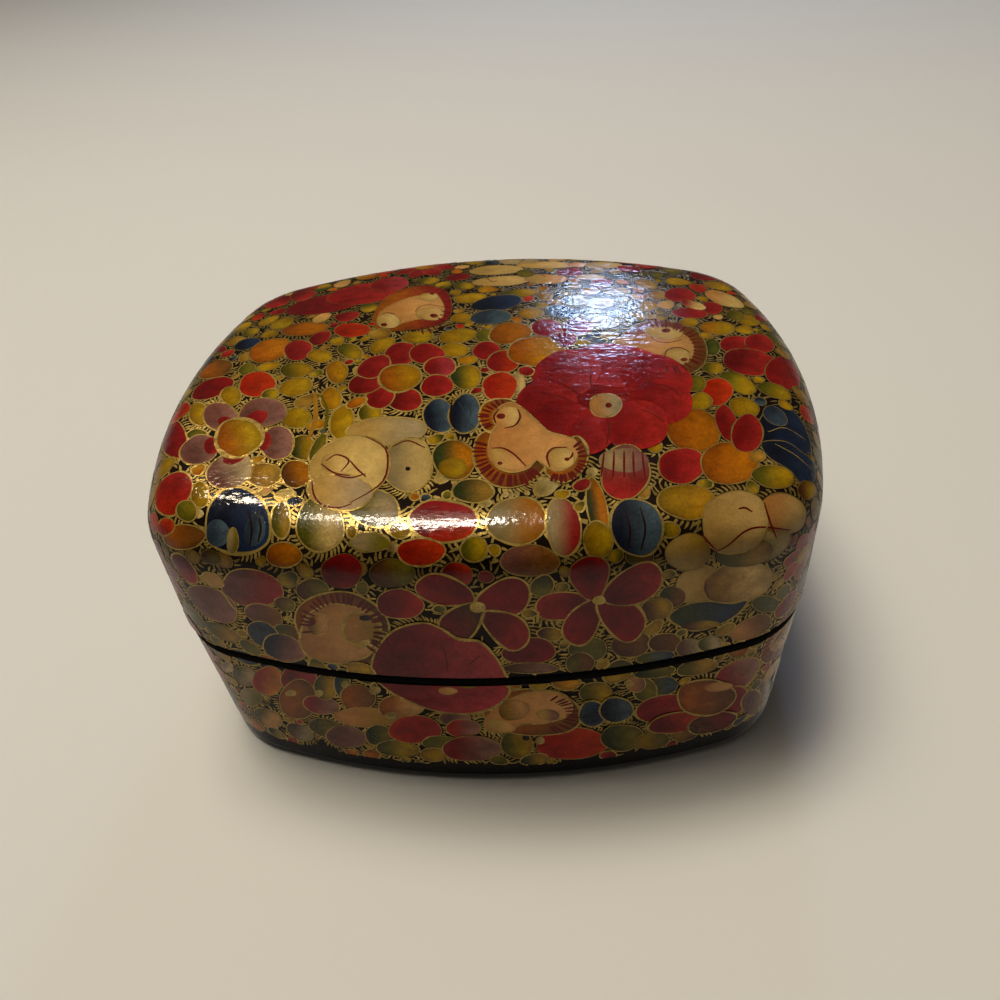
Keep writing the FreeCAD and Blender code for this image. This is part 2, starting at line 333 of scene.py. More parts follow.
def closed_grid_faces(rows, columns):
    """Faces of a grid that closes on itself sideways, with its first and last row each one point at a pole.

    The points are the first pole, rows of points, then the last pole.
    """
    across = np.arange(columns)
    beside = (across + 1) % columns
    last = 1 + rows * columns
    faces = [[0, 1 + j, 1 + k] for j, k in zip(across, beside)]
    row = 1 + columns * np.arange(rows - 1)[:, None]
    quads = np.stack([row + across, row + across + columns, row + beside + columns, row + beside], axis=-1)
    faces += quads.reshape(-1, 4).tolist()
    end = 1 + (rows - 1) * columns
    faces += [[end + k, end + j, last] for j, k in zip(across, beside)]
    return faces


def arc_steps(first, last, count):
    """Angles spread evenly from first to last degrees, both kept."""
    return np.radians(np.linspace(first, last, count))


class Turning:
    """A closed shell made of rings on the box's outline, from one pole to the other."""

    def __init__(self, spacing):
        self.edge, self.out = outline_points(spacing)
        self.rings = []

    def ring(self, inset, height):
        """A ring at an inset from the lid's outline and a height, each one number or one for each point."""
        inset = np.broadcast_to(inset, len(self.edge))[:, None]
        self.rings.append(joined(self.edge - self.out * inset, height))

    def rings_at(self, insets, heights):
        for inset, height in zip(insets, heights):
            self.ring(inset, height)

    def shoulder(self, depth, angles):
        """Rings round the shoulder, at angles from level, and the last of them on the crown."""
        seat, tilt, _ = shoulder_seat(self.edge, self.out, depth)
        radius = SHOULDER - depth
        for share in angles / (math.pi / 2):
            angle = share * (math.pi / 2 - tilt)
            self.ring(SHOULDER - radius * np.cos(angle), seat + radius * np.sin(angle))

    def inward(self, scales, height_of):
        """Rings drawn in towards the middle from the last one, at heights worked out from their plan."""
        flat = self.rings[-1][:, :2]
        for scale in scales:
            self.rings.append(joined(flat * scale, height_of(flat * scale)))

    def outward(self, flat, scales, height_of):
        for scale in scales:
            self.rings.append(joined(flat * scale, height_of(flat * scale)))

    def points(self, first_pole, last_pole):
        poles = np.array([[[0.0, 0.0, first_pole]], [[0.0, 0.0, last_pole]]])
        return np.concatenate([poles[0], *self.rings, poles[1]])

    def build(self, name, first_pole, last_pole):
        piece = add_mesh(name, self.points(first_pole, last_pole), closed_grid_faces(len(self.rings), len(self.edge)))
        piece.data.set_sharp_from_angle(angle=math.radians(40))
        return piece


RING_SPACING = 0.85 * MM
INWARD = np.linspace(1, 0, 26)[1:-1]


def make_lid():
    """Lid: from the crown's middle out over the shoulder, down the wall, round the rim and back up inside."""
    lid = Turning(RING_SPACING)
    seat, tilt, _ = shoulder_seat(lid.edge, lid.out)
    touch = lid.edge - lid.out * (SHOULDER * (1 - np.sin(tilt)))[:, None]
    lid.outward(touch, INWARD[::-1], lambda flat: crown(flat)[0])
    lid.shoulder(0.0, arc_steps(90, 0, 27))
    for share in np.linspace(0, 1, 16)[1:]:
        lid.ring(0.0, seat + (SEAM + RIM_ROUND - seat) * share)
    for angle in arc_steps(0, 90, 7)[1:]:
        lid.ring(RIM_ROUND * (1 - math.cos(angle)), SEAM + RIM_ROUND * (1 - math.sin(angle)))
    seat_in, _, _ = shoulder_seat(lid.edge, lid.out, LID_WALL)
    for share in np.linspace(0, 1, 9):
        lid.ring(LID_WALL, SEAM + (seat_in - SEAM) * share)
    lid.shoulder(LID_WALL, arc_steps(0, 90, 15)[1:])
    lid.inward(INWARD, lambda flat: crown(flat, LID_WALL)[0])
    middle = np.zeros((1, 2))
    return lid.build("lid_lacquer_shell", TOP, crown(middle, LID_WALL)[0][0])


def make_base():
    """Base: from under the floor out round the foot, up the leaning wall, over the rim and down inside."""
    base = Turning(RING_SPACING)
    lean = math.atan2(BASE_DRAW, SEAM)
    foot_low = LID_OVERHANG + BASE_DRAW + FOOT * (1 / math.cos(lean) - math.tan(lean))
    flat = base.edge - base.out * foot_low
    base.outward(flat, INWARD[::-1], lambda flat: np.zeros(len(flat)))
    for angle in arc_steps(-90, math.degrees(-lean), 11):
        base.ring(foot_low - FOOT * math.cos(angle), FOOT * (1 + math.sin(angle)))
    low = FOOT * (1 - math.sin(lean))
    for share in np.linspace(0, 1, 22)[1:]:
        height = low + (SEAM - RIM_ROUND - low) * share
        base.ring(wall_inset(height), height)
    rim_inset = float(wall_inset(SEAM - RIM_ROUND))
    for angle in arc_steps(0, 90, 7)[1:]:
        base.ring(rim_inset + RIM_ROUND * (1 - math.cos(angle)), SEAM - RIM_ROUND * (1 - math.sin(angle)))
    base.rings_at((COLLAR_INSET, COLLAR_INSET), (SEAM, COLLAR_LOW.z))
    inner_wall = lambda height: float(wall_inset(height)) + BASE_WALL / math.cos(lean)
    inside = np.linspace(COLLAR_LOW.z, BASE_WALL + FLOOR_ROUND, 10)
    base.rings_at([inner_wall(h) for h in inside], inside)
    centre = inner_wall(BASE_WALL + FLOOR_ROUND) + FLOOR_ROUND
    for angle in arc_steps(0, 90, 9)[1:]:
        base.ring(centre - FLOOR_ROUND * math.cos(angle), BASE_WALL + FLOOR_ROUND * (1 - math.sin(angle)))
    base.inward(INWARD, lambda flat: np.full(len(flat), BASE_WALL))
    return base.build("base_lacquer_shell", 0.0, BASE_WALL)


# Paints, each with the tone at a stroke's root and the tone at its tip.
PAINTS = {
    "maroon": ("#600a08", "#780f0d"),
    "crimson": ("#760f0c", "#8f1d17"),
    "rose": ("#82191b", "#962d30"),
    "red": ("#921a02", "#a62c06"),
    "orange": ("#9c5100", "#b66a04"),
    "amber": ("#a06600", "#b88206"),
    "golden": ("#946c00", "#aa840c"),
    "ochre": ("#8c6214", "#a07826"),
    "olive": ("#544e08", "#726410"),
    "green": ("#343a10", "#545812"),
    "navy": ("#0f1320", "#1d2a42"),
    "slate": ("#26303a", "#3c4a52"),
    "cream": ("#b89148", "#cfaa62"),
    "tan": ("#bb7e3e", "#cf9654"),
    "grey": ("#988054", "#ad9468"),
    "mauve": ("#6a3e32", "#85584a"),
    "brown": ("#57300e", "#744616"),
    "umber": ("#5a1408", "#6c220e"),
    "ink": ("#1c0a06", "#281208"),
    "gold": ("#b39548", "#ccb068"),
}
FAMILIES = {
    "petals": ("maroon", "crimson", "rose", "red", "mauve"),
    "buds": ("orange", "amber", "golden", "ochre", "olive", "green", "brown"),
    "blossoms": ("cream", "tan", "grey"),
    "blue_petals": ("navy", "slate"),
    "fine_brushwork": ("umber", "ink"),
    "gold_dots": ("gold",),
}

FIRST_LIFT = 0.020 * MM
LEVEL_LIFT = 0.007 * MM
OUTLINE_LIFT = 0.003 * MM
STROKE_LIFT = 0.012 * MM
OUTLINE_WIDTH = 0.26 * MM
STROKE_SPACING = 0.56 * MM
PIXEL = 0.18
PIXEL_LIMIT = 0.30 * MM
WALL_TOP = 583
WALL_GOLD = 0.62
# The gold thins and darkens towards the back and the right, between these places along each axis.
GOLD_FADE_AT_BACK = (-12 * MM, 22 * MM)
GOLD_FADE_AT_RIGHT = (8 * MM, 55 * MM)
# Painted shade: a band this far below the crown and this wide darkens the paint and the gold along the shoulder, the
# paint by this share.
SHADE_BAND_BELOW_CROWN = 4.8 * MM
SHADE_BAND_WIDTH = 2.0 * MM
SHOULDER_SHADE_DEPTH = 0.42
LID_PAINT_LOW = SEAM + RIM_ROUND
BASE_PAINT_HIGH = SEAM - RIM_ROUND - 0.8 * MM
BASE_PAINT_LOW = FOOT + 2.2 * MM
PAINT_DEPTH = 0.79
LINE_POINTS = 14

chance = np.random.default_rng(11)


def shown_at(places):
    """The picture's pixel at which places show."""
    offset = places - EYE
    depth = -(offset @ BACK)
    across = PICTURE / 2 + FOCAL * (offset @ RIGHT) / depth
    down = PICTURE / 2 - FOCAL * (offset @ UP) / depth
    return np.stack([across, down], axis=-1)


def spun(offsets, turn):
    """Offsets turned anticlockwise by a number of degrees."""
    cos, sin = math.cos(math.radians(turn)), math.sin(math.radians(turn))
    x, y = offsets[..., 0], offsets[..., 1]
    return np.stack([x * cos - y * sin, x * sin + y * cos], axis=-1)


def through(points, count, closed):
    """A smooth curve through points: the cubic whose slope at each point is half the step between its neighbours."""
    points = np.asarray(points, float)
    if closed:
        padded = np.concatenate([points[-1:], points, points[:2]])
        place = np.linspace(0, len(points), count, endpoint=False)
    else:
        padded = np.concatenate([2 * points[:1] - points[1:2], points, 2 * points[-1:] - points[-2:-1]])
        place = np.linspace(0, len(points) - 1, count)
    first = np.minimum(place.astype(int), len(padded) - 4)
    share = (place - first)[:, None]
    p0, p1, p2, p3 = (padded[first + k] for k in range(4))
    return p1 + 0.5 * share * (p2 - p0 + share * (2 * p0 - 5 * p1 + 4 * p2 - p3 + share * (3 * (p1 - p2) + p3 - p0)))


def rim_of(form, half_long, half_wide, count):
    """A painted shape's edge about its middle: an oval whose width or reach changes with the angle."""
    angle = np.linspace(0, 2 * math.pi, count, endpoint=False)
    cos, sin = np.cos(angle), np.sin(angle)
    if form == "petal":
        sin = sin * (1 + 0.28 * cos)
    elif form == "drop":
        sin = sin * (0.62 + 0.46 * cos - 0.1 * cos ** 2)
    elif form == "leaf":
        sin = sin * np.abs(sin) ** 0.55
    elif form == "heart":
        cos = cos * (1 - 0.22 * np.exp(-(angle - math.pi * np.round(angle / math.pi)) ** 2 * 8) * (cos > 0))
    elif form == "round":
        cos, sin = (np.sign(v) * np.abs(v) ** 0.88 for v in (cos, sin))
    waver = 1 + 0.030 * np.sin(2 * angle + chance.uniform(0, 6)) + 0.026 * np.sin(3 * angle + chance.uniform(0, 6))
    waver += 0.014 * np.sin(5 * angle + chance.uniform(0, 6))
    return np.stack([half_long * cos * waver, half_wide * sin * waver], axis=-1)


class Dab:
    """One painted shape: where its middle is, its edge about that, and its paint."""

    def __init__(self, paint, middle, rim, turn=0.0, spot=None, gold=1.0, hatch=True):
        first, _, second = paint.partition(">")
        self.family = next(name for name, paints in FAMILIES.items() if first in paints)
        vary = PAINT_DEPTH * chance.normal(1, 0.08) * (1 + chance.normal(0, 0.02, 3))
        self.root = linear(PAINTS[first][0]) * vary
        self.tip = linear(PAINTS[second or first][1]) * vary
        self.middle = np.asarray(middle, float)
        self.rim = spun(rim, turn)
        self.along = rim[:, 0] / np.abs(rim[:, 0]).max()
        self.spot = spot
        self.gold = 0.0 if self.family in ("gold_dots", "fine_brushwork") else gold
        self.hatch = hatch and self.gold > 0
        self.centre = None


dabs = []
lines = []


def dab(paint, x, y, half_long, half_wide, turn=0, form="oval", spot=None, **more):
    """A painted shape from its paint, its middle, its half sizes and its turn. In the picture small ones run fuller."""
    unit_length = 1.0
    if spot is None:
        unit_length = PIXEL
        if y > WALL_TOP and more.get("gold", 1.0) <= 1.0:
            more["gold"] = WALL_GOLD * more.get("gold", 1.0)
        fuller = 1.06 + 0.12 * min(1.0, 10.0 / max(half_long, half_wide))
        half_long, half_wide = half_long * fuller, half_wide * fuller
    count = 64 if max(half_long, half_wide) * unit_length > 2.9 else 32
    dabs.append(Dab(paint, (x, y), rim_of(form, half_long, half_wide, count), turn, spot, **more))


def drawn(paint, points, spot=None, **more):
    """A painted shape whose edge passes through points, given in turn round it."""
    edge = through(points, 64, True)
    middle = edge.mean(axis=0)
    rim = (edge - middle) * (1.0, -1.0 if spot is None else 1.0)
    if (rim[:, 0] * np.roll(rim[:, 1], -1) - rim[:, 1] * np.roll(rim[:, 0], -1)).sum() < 0:
        rim = rim[::-1]
    dabs.append(Dab(paint, middle, rim, 0, spot, **more))


def line(paint, width, points, spot=None):
    lines.append((paint, width, np.asarray(points, float), spot))


def rays(paint, width, middle, reach, turn, first, last, count, inner, spot=None):
    """Fine lines fanning out of a middle, from a share of the reach out to it."""
    sign = -1 if spot is None else 1
    for angle in np.radians(np.linspace(first, last, count)):
        angle += chance.normal(0, 0.03)
        end = spun(np.array([reach[0] * math.cos(angle), reach[1] * math.sin(angle)]), turn) * [1, sign]
        outer = chance.uniform(0.97, 1.06)
        line(paint, width, np.asarray(middle) + end * np.array([[inner], [(inner + outer) / 2], [outer]]), spot)


def fringed(at, half_long, half_wide, turn, first, last, count, spot=None):
    """The striped fringe round a carnation: an orange-brown rim with dark red rays."""
    dab("orange>brown", at[0], at[1], half_long, half_wide, turn, spot=spot, gold=1.2)
    width = 2.4 if spot is None else 0.36
    rays("umber", width, at, (half_long, half_wide), turn, first, last, count, 0.72, spot)


def fringe_piece(points, middle, reach, first, last, count):
    """A part of a fringe with an edge of its own, its rays fanning out of a middle."""
    drawn("orange>brown", points, gold=1.2)
    rays("umber", 2.8, middle, reach, 0, first, last, count, 0.66)


def eye_petal(at, half_long, half_wide, pupil, pupil_size, turn=0, paint="cream", spot=None):
    dab(paint, at[0], at[1], half_long, half_wide, turn, "round", spot, hatch=False, gold=0.6)
    dab("umber", pupil[0], pupil[1], pupil_size[0], pupil_size[1], 0, "oval", spot)


def paint_back():
    """The far edge of the lid, from left to right."""
    for it in (
        ("maroon", 325, 304, 36, 13, 15), ("crimson", 365, 293, 35, 15, 15), ("crimson>rose", 390, 284, 17, 11, 12),
        ("maroon", 220, 349, 7, 5, 30), ("olive>golden", 251, 332, 8, 4, 25), ("ochre", 236, 341, 9, 5, 20),
        ("navy", 247, 344, 12, 6, 25), ("ochre", 246, 357, 7, 4, 30), ("orange", 270, 350, 20, 12, 25),
        ("orange", 305, 329, 21, 8, 8), ("maroon>crimson", 320, 338, 11, 6, 30), ("crimson", 298, 350, 13, 10, 20),
        ("red", 352, 330, 16, 8, 5), ("golden", 320, 356, 11, 6, -5), ("olive>golden", 350, 351, 11, 7, -20),
        ("golden", 382, 345, 12, 6, 25), ("golden", 418, 337, 14, 6, 5), ("amber", 337, 372, 9, 10, 0),
        ("olive>golden", 296, 370, 14, 7, 5), ("golden", 296, 387, 15, 8, 15), ("amber", 331, 399, 9, 10, 0),
        ("orange>brown", 215, 369, 16, 9, 20), ("olive", 247, 369, 8, 5, 30), ("red", 257, 384, 17, 11, 10),
        ("maroon", 212, 388, 20, 9, 20), ("golden", 231, 396, 9, 8, 0), ("golden", 199, 414, 9, 10, 30),
        ("olive", 197, 435, 9, 5, 0), ("maroon", 172, 438, 12, 17, 0), ("olive>golden", 270, 395, 8, 5, 20),
        ("gold", 357, 371, 4, 4, 0),
    ):
        dab(*it)


def paint_back_carnation():
    drawn("orange>crimson", [(378, 303), (392, 287), (408, 278), (428, 275), (444, 281), (451, 294), (451, 312),
                             (444, 325), (428, 333), (405, 337), (384, 337), (373, 327)], gold=0.5)
    rays("umber", 1.8, (414, 306), (38, 30), 0, -75, 40, 12, 0.74)
    drawn("tan", [(379, 314), (391, 302), (405, 294), (420, 289), (436, 288), (443, 299), (444, 312), (436, 323),
                  (420, 322), (404, 327), (391, 333), (380, 329)], gold=0.6)
    eye_petal((388, 321), 10, 8, (384, 325), (2.8, 1.8))
    eye_petal((430, 314), 12, 7, (434, 316), (3.4, 2.2))
    eye_petal((429, 297), 8, 5, (432, 294), (2, 1.2))
    line("umber", 1.0, [(415, 312), (420, 307), (430, 305), (441, 307)])
    line("umber", 1.0, [(379, 317), (386, 313), (395, 314)])


def paint_rosette():
    for it in (
        ("crimson", 401, 354, 15, 10, 10), ("crimson", 427, 354, 16, 9, -5), ("crimson>rose", 440, 367, 14, 9, 0),
        ("crimson", 437, 386, 14, 10, 5), ("maroon>crimson", 405, 400, 16, 10, 0), ("crimson", 380, 398, 13, 9, 20),
        ("maroon>crimson", 365, 384, 15, 9, 12), ("crimson", 374, 367, 16, 9, 25),
    ):
        dab(*it)
    dab("orange>amber", 400, 378, 20, 12, 8, gold=1.6)


def paint_mauve_flower():
    for it in (
        ("mauve", 222, 418, 17, 13, -25), ("mauve", 263, 413, 22, 13, 10), ("mauve", 277, 443, 15, 15, 0),
        ("mauve>grey", 230, 471, 21, 16, 25), ("mauve", 199, 450, 17, 13, 20),
    ):
        dab(*it)
    for it in (("crimson", 228, 425, 9, 6, -30), ("crimson", 257, 418, 9, 6, 20), ("crimson", 264, 441, 6, 8, 0),
               ("crimson", 234, 457, 10, 6, 20), ("crimson", 212, 446, 7, 7, 0)):
        dab(*it, gold=0, hatch=False)
    dab("orange>golden", 239, 438, 22, 17, 15, gold=2.2)


def paint_back_middle():
    for it in (
        ("maroon", 458, 277, 11, 5, 10), ("olive>golden", 464, 286, 9, 5, 0), ("golden", 470, 298, 15, 6, 8),
        ("cream", 496, 270, 24, 8, 5), ("cream", 502, 281, 28, 7, 5), ("cream", 545, 265, 26, 6, 0),
        ("cream>tan", 546, 279, 19, 7, 0), ("tan", 577, 265, 8, 4, 0), ("cream", 603, 265, 16, 6, 0),
        ("cream", 590, 277, 13, 4, 0), ("olive>golden", 520, 293, 17, 5, 5), ("golden", 545, 296, 7, 6, 0),
        ("golden", 531, 313, 11, 6, 5), ("golden", 462, 318, 10, 5, 0), ("golden", 458, 336, 17, 7, 8),
        ("golden", 454, 350, 13, 6, 0), ("olive", 485, 336, 8, 6, 0), ("green>golden", 466, 377, 13, 11, 0),
        ("grey>cream", 519, 383, 5, 9, 0), ("olive", 628, 277, 12, 4, -5), ("olive", 655, 275, 7, 5, 0),
        ("olive>grey", 675, 267, 20, 5, -15), ("ochre", 658, 295, 9, 6, 0), ("olive>golden", 640, 306, 16, 7, 0),
        ("golden", 600, 303, 13, 6, 0), ("olive>golden", 575, 300, 12, 6, 0), ("golden", 605, 322, 13, 6, 0),
        ("olive>golden", 570, 286, 10, 4, 0), ("golden", 617, 291, 12, 5, 0), ("olive", 590, 313, 9, 5, 0),
    ):
        dab(*it)
    for it in (
        ("crimson>rose", 547, 328, 14, 9, 0), ("crimson>rose", 577, 327, 14, 9, 0), ("crimson", 487, 351, 13, 8, 0),
        ("crimson>red", 503, 362, 14, 10, 0), ("red", 500, 387, 16, 13, 0), ("crimson", 563, 340, 12, 7, 0),
    ):
        dab(*it)
    dab("orange", 510, 333, 20, 10, 8, gold=1.3)
    dab("orange>amber", 536, 352, 25, 14, 0, gold=1.4)
    dab("navy", 497, 303, 23, 9, 10)
    dab("slate", 491, 317, 18, 8, 5)
    for points in ([(486, 278), (493, 282), (497, 280)], [(531, 271), (533, 277)], [(538, 272), (545, 277)]):
        line("umber", 1.0, points)


def paint_back_right():
    for it in (
        ("maroon", 706, 276, 15, 7, -25), ("crimson", 680, 295, 14, 9, -10), ("crimson", 690, 313, 16, 6, -5),
        ("crimson", 712, 308, 9, 7, -20), ("rose>cream", 693, 305, 12, 4, -20), ("tan>cream", 724, 299, 19, 8, -28),
        ("golden", 749, 320, 10, 6, -15), ("olive", 735, 315, 8, 5, -20), ("crimson", 762, 317, 11, 6, -35),
        ("amber>golden", 718, 328, 15, 7, -5), ("olive", 778, 340, 18, 5, -40), ("green", 711, 347, 8, 7, 0),
        ("crimson", 737, 345, 15, 9, 0), ("crimson", 760, 343, 13, 9, -10), ("maroon>crimson", 750, 362, 25, 12, -10),
        ("crimson", 785, 372, 17, 14, -35), ("olive>golden", 713, 368, 9, 5, 0), ("olive>golden", 738, 383, 17, 8, -25),
        ("red", 717, 392, 14, 12, 0), ("olive>golden", 775, 391, 16, 6, -15), ("golden", 744, 408, 13, 9, -20),
        ("olive", 695, 384, 9, 7, 0), ("golden", 700, 402, 10, 8, 0),
    ):
        dab(*it)
    for points in (
        [(757, 425), (770, 404), (785, 405), (800, 415), (812, 432), (816, 452), (800, 455), (780, 445), (762, 440)],
        [(765, 437), (785, 440), (803, 452), (817, 458), (820, 475), (805, 482), (790, 470), (772, 455)],
    ):
        drawn("navy", points)
    dab("slate", 775, 416, 12, 7, -35, gold=0.6, hatch=False)
    for points in ([(768, 432), (785, 428), (806, 440)], [(775, 444), (795, 455), (812, 470)]):
        line("gold", 0.8, points)


def paint_right_carnation():
    fringed((664, 347), 41, 26, -12, -75, 120, 22)
    drawn("tan", [(610, 345), (630, 337), (648, 333), (668, 330), (686, 335), (694, 347), (689, 361), (672, 364),
                  (652, 356), (632, 351), (618, 350)], gold=0.5)
    eye_petal((664, 333), 16, 6, (666, 331), (4, 2), -5)
    eye_petal((676, 357), 12, 7, (684, 360), (3, 1.6), -5)
    dab("cream>tan", 623, 343, 10, 5, 0, hatch=False, gold=0)
    for points in ([(648, 334), (656, 341), (668, 343), (682, 340)], [(664, 358), (668, 350), (680, 348), (690, 353)]):
        line("umber", 1.2, points)


def paint_peony():
    """The large red flower: overlapping lobes round a pale disc."""
    dab("crimson", 607, 402, 62, 40, 0, gold=0, hatch=False)
    for it in (
        ("rose", 618, 366, 46, 20, -6), ("crimson>rose", 566, 375, 32, 22, 22), ("crimson", 547, 405, 28, 21, -12),
        ("crimson", 657, 379, 34, 21, -16), ("crimson", 566, 419, 28, 16, -6), ("crimson", 661, 402, 28, 21, -8),
        ("crimson", 590, 432, 23, 20, 12), ("crimson", 636, 426, 29, 23, 4),
    ):
        dab(*it, gold=0, hatch=False)
    for points in (
        [(562, 384), (577, 394), (590, 402)], [(591, 366), (591, 386), (597, 397)],
        [(619, 396), (636, 391), (648, 382), (650, 373)], [(648, 384), (668, 387), (682, 398)],
        [(607, 419), (609, 432), (606, 446)], [(536, 392), (556, 396), (574, 402)], [(640, 410), (655, 416), (664, 423)],
    ):
        line("umber", 1.3, points)
    dab("tan>grey", 605.5, 406, 13.5, 10.5, 0, "round", hatch=False, gold=0.8)
    dab("umber", 608.5, 406, 2.8, 2.2)


def paint_middle():
    """Buds, leaves and drops over the middle of the lid."""
    for it in (
        ("golden", 297, 418, 13, 9, 10), ("green>golden", 303, 448, 12, 11, 0), ("ochre", 264, 475, 15, 11, 0),
        ("brown>orange", 296, 474, 14, 12, 20), ("gold", 284, 495, 9, 5, 20), ("olive>golden", 370, 413, 11, 8, 15),
        ("golden", 342, 423, 11, 15, -15), ("olive", 318, 449, 6, 14, -25), ("navy", 479, 420, 4, 8, 0),
        ("gold", 442, 478, 7, 5, 20), ("gold", 485, 503, 6, 4, 0), ("gold", 545, 487, 11, 8, 20),
        ("gold", 592, 472, 5, 4, 0), ("gold", 393, 548, 6, 4, 0), ("gold", 199, 513, 4, 3, 0),
        ("gold", 505, 495, 2.5, 2.2, 0), ("gold", 511, 495, 2.5, 2.2, 0), ("gold", 517, 494, 2.5, 2.2, 0),
        ("gold", 527, 493, 2.5, 2.2, 0), ("green>ochre", 473, 491, 18, 11, 0), ("olive>grey", 373, 508, 25, 17, -10),
        ("olive>cream", 320, 525, 22, 24, 0), ("olive>ochre", 281, 520, 9, 16, 0), ("grey>olive", 370, 542, 17, 9, 0),
        ("ochre", 361, 569, 5, 6, 0), ("brown>olive", 392, 573, 20, 13, 0), ("olive>golden", 474, 549, 12, 11, 0),
        ("orange", 694, 431, 25, 19, -5), ("crimson", 682, 466, 22, 16, 0), ("orange", 729, 464, 26, 19, -8),
        ("crimson", 727, 424, 9, 18, 20), ("crimson", 747, 434, 14, 17, 0), ("olive>golden", 773, 477, 19, 10, -5),
        ("golden>amber", 687, 502, 26, 16, -5), ("ochre", 644, 492, 5, 6, 0), ("brown>golden", 808, 490, 8, 8, 0),
        ("olive>golden", 668, 530, 10, 7, 0), ("green>orange", 597, 508, 9, 28, 10), ("golden", 598, 540, 13, 17, 0),
        ("golden", 655, 447, 6, 5, 0), ("ochre", 758, 457, 6, 5, 0), ("golden", 400, 530, 10, 7, 0),
    ):
        dab(*it)
    line("ochre", 4.0, [(315, 392), (316, 410), (314, 425), (308, 440)])
    line("olive", 2.5, [(321, 395), (327, 410), (325, 428), (316, 446)])


def paint_cream_rose():
    dab("cream>grey", 387, 431, 37, 13, 4)
    dab("grey>cream", 408, 465, 22, 25)
    drawn("cream", [(315, 455), (330, 443), (352, 436), (375, 440), (389, 455), (388, 475), (372, 494), (350, 506),
                    (328, 504), (314, 488), (309, 470)])
    dab("cream>grey", 340, 492, 29, 17, -4, hatch=False)
    dab("cream", 337, 464, 15, 9, -5, hatch=False, gold=0)
    for points in (
        [(366, 437), (384, 447), (388, 462), (384, 480), (370, 492), (350, 503)], [(350, 461), (358, 470), (366, 477)],
        [(335, 475), (350, 478), (366, 474)], [(321, 464), (334, 473), (350, 476)],
        [(312, 481), (314, 495), (322, 505), (338, 508), (352, 504)], [(392, 447), (408, 441), (425, 448)],
        [(326, 461), (337, 455), (349, 461), (341, 472)],
    ):
        line("umber", 1.6, points)
    dab("ink", 408, 469, 2.2, 1.8)


def paint_navy_pair():
    dab("navy>slate", 439, 416, 14, 15, 10)
    dab("navy>slate", 465, 414, 14, 18, -5)
    line("ink", 1.6, [(452, 400), (451, 415), (455, 430)])
    for points in ([(432, 408), (440, 414), (447, 425)], [(458, 402), (464, 412), (465, 428)], [(470, 404), (471, 416)]):
        line("slate", 1.2, points)
    dab("green>orange", 454, 460, 19, 18, 0)
    dab("golden", 453, 468, 12, 9, 0, gold=0, hatch=False)
    drawn("crimson", [(408, 520), (415, 508), (432, 500), (455, 502), (474, 510), (478, 524), (466, 538), (440, 542),
                      (418, 536)], gold=1.5)
    dab("red", 421, 552, 21, 13, 0)
    dab("red", 452, 531, 20, 9, 10, gold=0, hatch=False)


def paint_front_carnation():
    fringe_piece([(484, 404), (498, 399), (514, 402), (508, 418), (496, 432), (485, 430), (479, 417)], (509, 418),
                 (30, 19), 105, 215, 10)
    fringe_piece([(482, 433), (474, 447), (474, 461), (481, 475), (493, 485), (509, 488), (526, 484), (538, 476),
                  (546, 462), (530, 445), (505, 432)], (512, 452), (39, 35), 165, 318, 20)
    fringe_piece([(545, 470), (553, 480), (566, 483), (579, 475), (587, 462), (587, 448), (578, 437), (566, 442),
                  (554, 456)], (561, 459), (26, 24), -112, 42, 14)
    drawn("tan", [(491, 434), (499, 421), (499, 408), (512, 403), (524, 410), (536, 421), (549, 432), (563, 436),
                  (575, 441), (578, 454), (571, 467), (557, 472), (545, 467), (537, 461), (528, 469), (512, 473),
                  (497, 468), (488, 455)], gold=0.8, hatch=False)
    eye_petal((507, 418), 12, 9, (501, 417), (3.8, 2.4), 10, "tan>cream")
    drawn("cream>tan", [(492, 450), (502, 450), (513, 456), (525, 466), (513, 471), (500, 468), (493, 460)],
          hatch=False, gold=0)
    dab("umber", 500, 464, 2.2, 1.5)
    eye_petal((561, 459), 12, 9, (567, 460), (2.4, 1.5), 5)
    for points in (
        [(492, 449), (503, 449), (514, 455), (526, 467)], [(550, 468), (547, 457), (553, 449), (567, 448)],
        [(518, 410), (520, 418), (515, 426), (504, 429)], [(496, 424), (494, 417), (499, 410)],
        [(566, 460), (571, 458), (573, 453)],
    ):
        line("umber", 1.7, points)


def paint_striped_fan():
    dab("mauve>crimson", 625, 473, 25, 22, -90)
    dab("grey>mauve", 624, 461, 22, 11, 0, hatch=False, gold=0)
    for x, bend in ((604, -3), (614, -1), (624, 0), (633, 1), (642, 3)):
        line("umber", 1.6, [(x, 452), (x + bend * 0.4, 464), (x + bend, 478)])
    dab("grey>orange", 517, 521, 27, 22, 0)
    drawn("grey>crimson", [(549, 540), (545, 520), (551, 502), (563, 498), (575, 508), (581, 525), (579, 545),
                           (568, 556), (556, 553)])
    drawn("navy>slate", [(612, 512), (625, 500), (645, 502), (658, 512), (663, 530), (655, 550), (640, 556),
                         (620, 548), (611, 530)], gold=1.3)
    for points in ([(625, 510), (630, 530), (628, 548)], [(640, 508), (645, 528), (641, 550)]):
        line("ink", 1.5, points)


def paint_right_rose():
    """The cream rose that runs over the right front corner and down the lid's wall."""
    dab("cream>ochre", 700, 586, 22, 18, 0)
    dab("ochre>cream", 738, 583, 32, 19, 12)
    dab("olive>cream", 768, 545, 24, 16, 35)
    dab("olive>ochre", 745, 553, 26, 12, 12)
    dab("tan>cream", 785, 514, 23, 18, -10)
    dab("cream>ochre", 688, 552, 21, 16, 10)
    drawn("cream", [(703, 512), (716, 497), (738, 491), (758, 497), (768, 515), (764, 536), (748, 550), (722, 553),
                    (706, 540)])
    for points in (
        [(764, 503), (769, 520), (776, 538)], [(714, 552), (728, 545), (745, 531), (762, 527), (790, 530)],
        [(702, 534), (708, 542), (716, 550)], [(738, 509), (745, 508), (752, 512)], [(706, 580), (705, 589), (709, 598)],
    ):
        line("umber", 1.5, points)


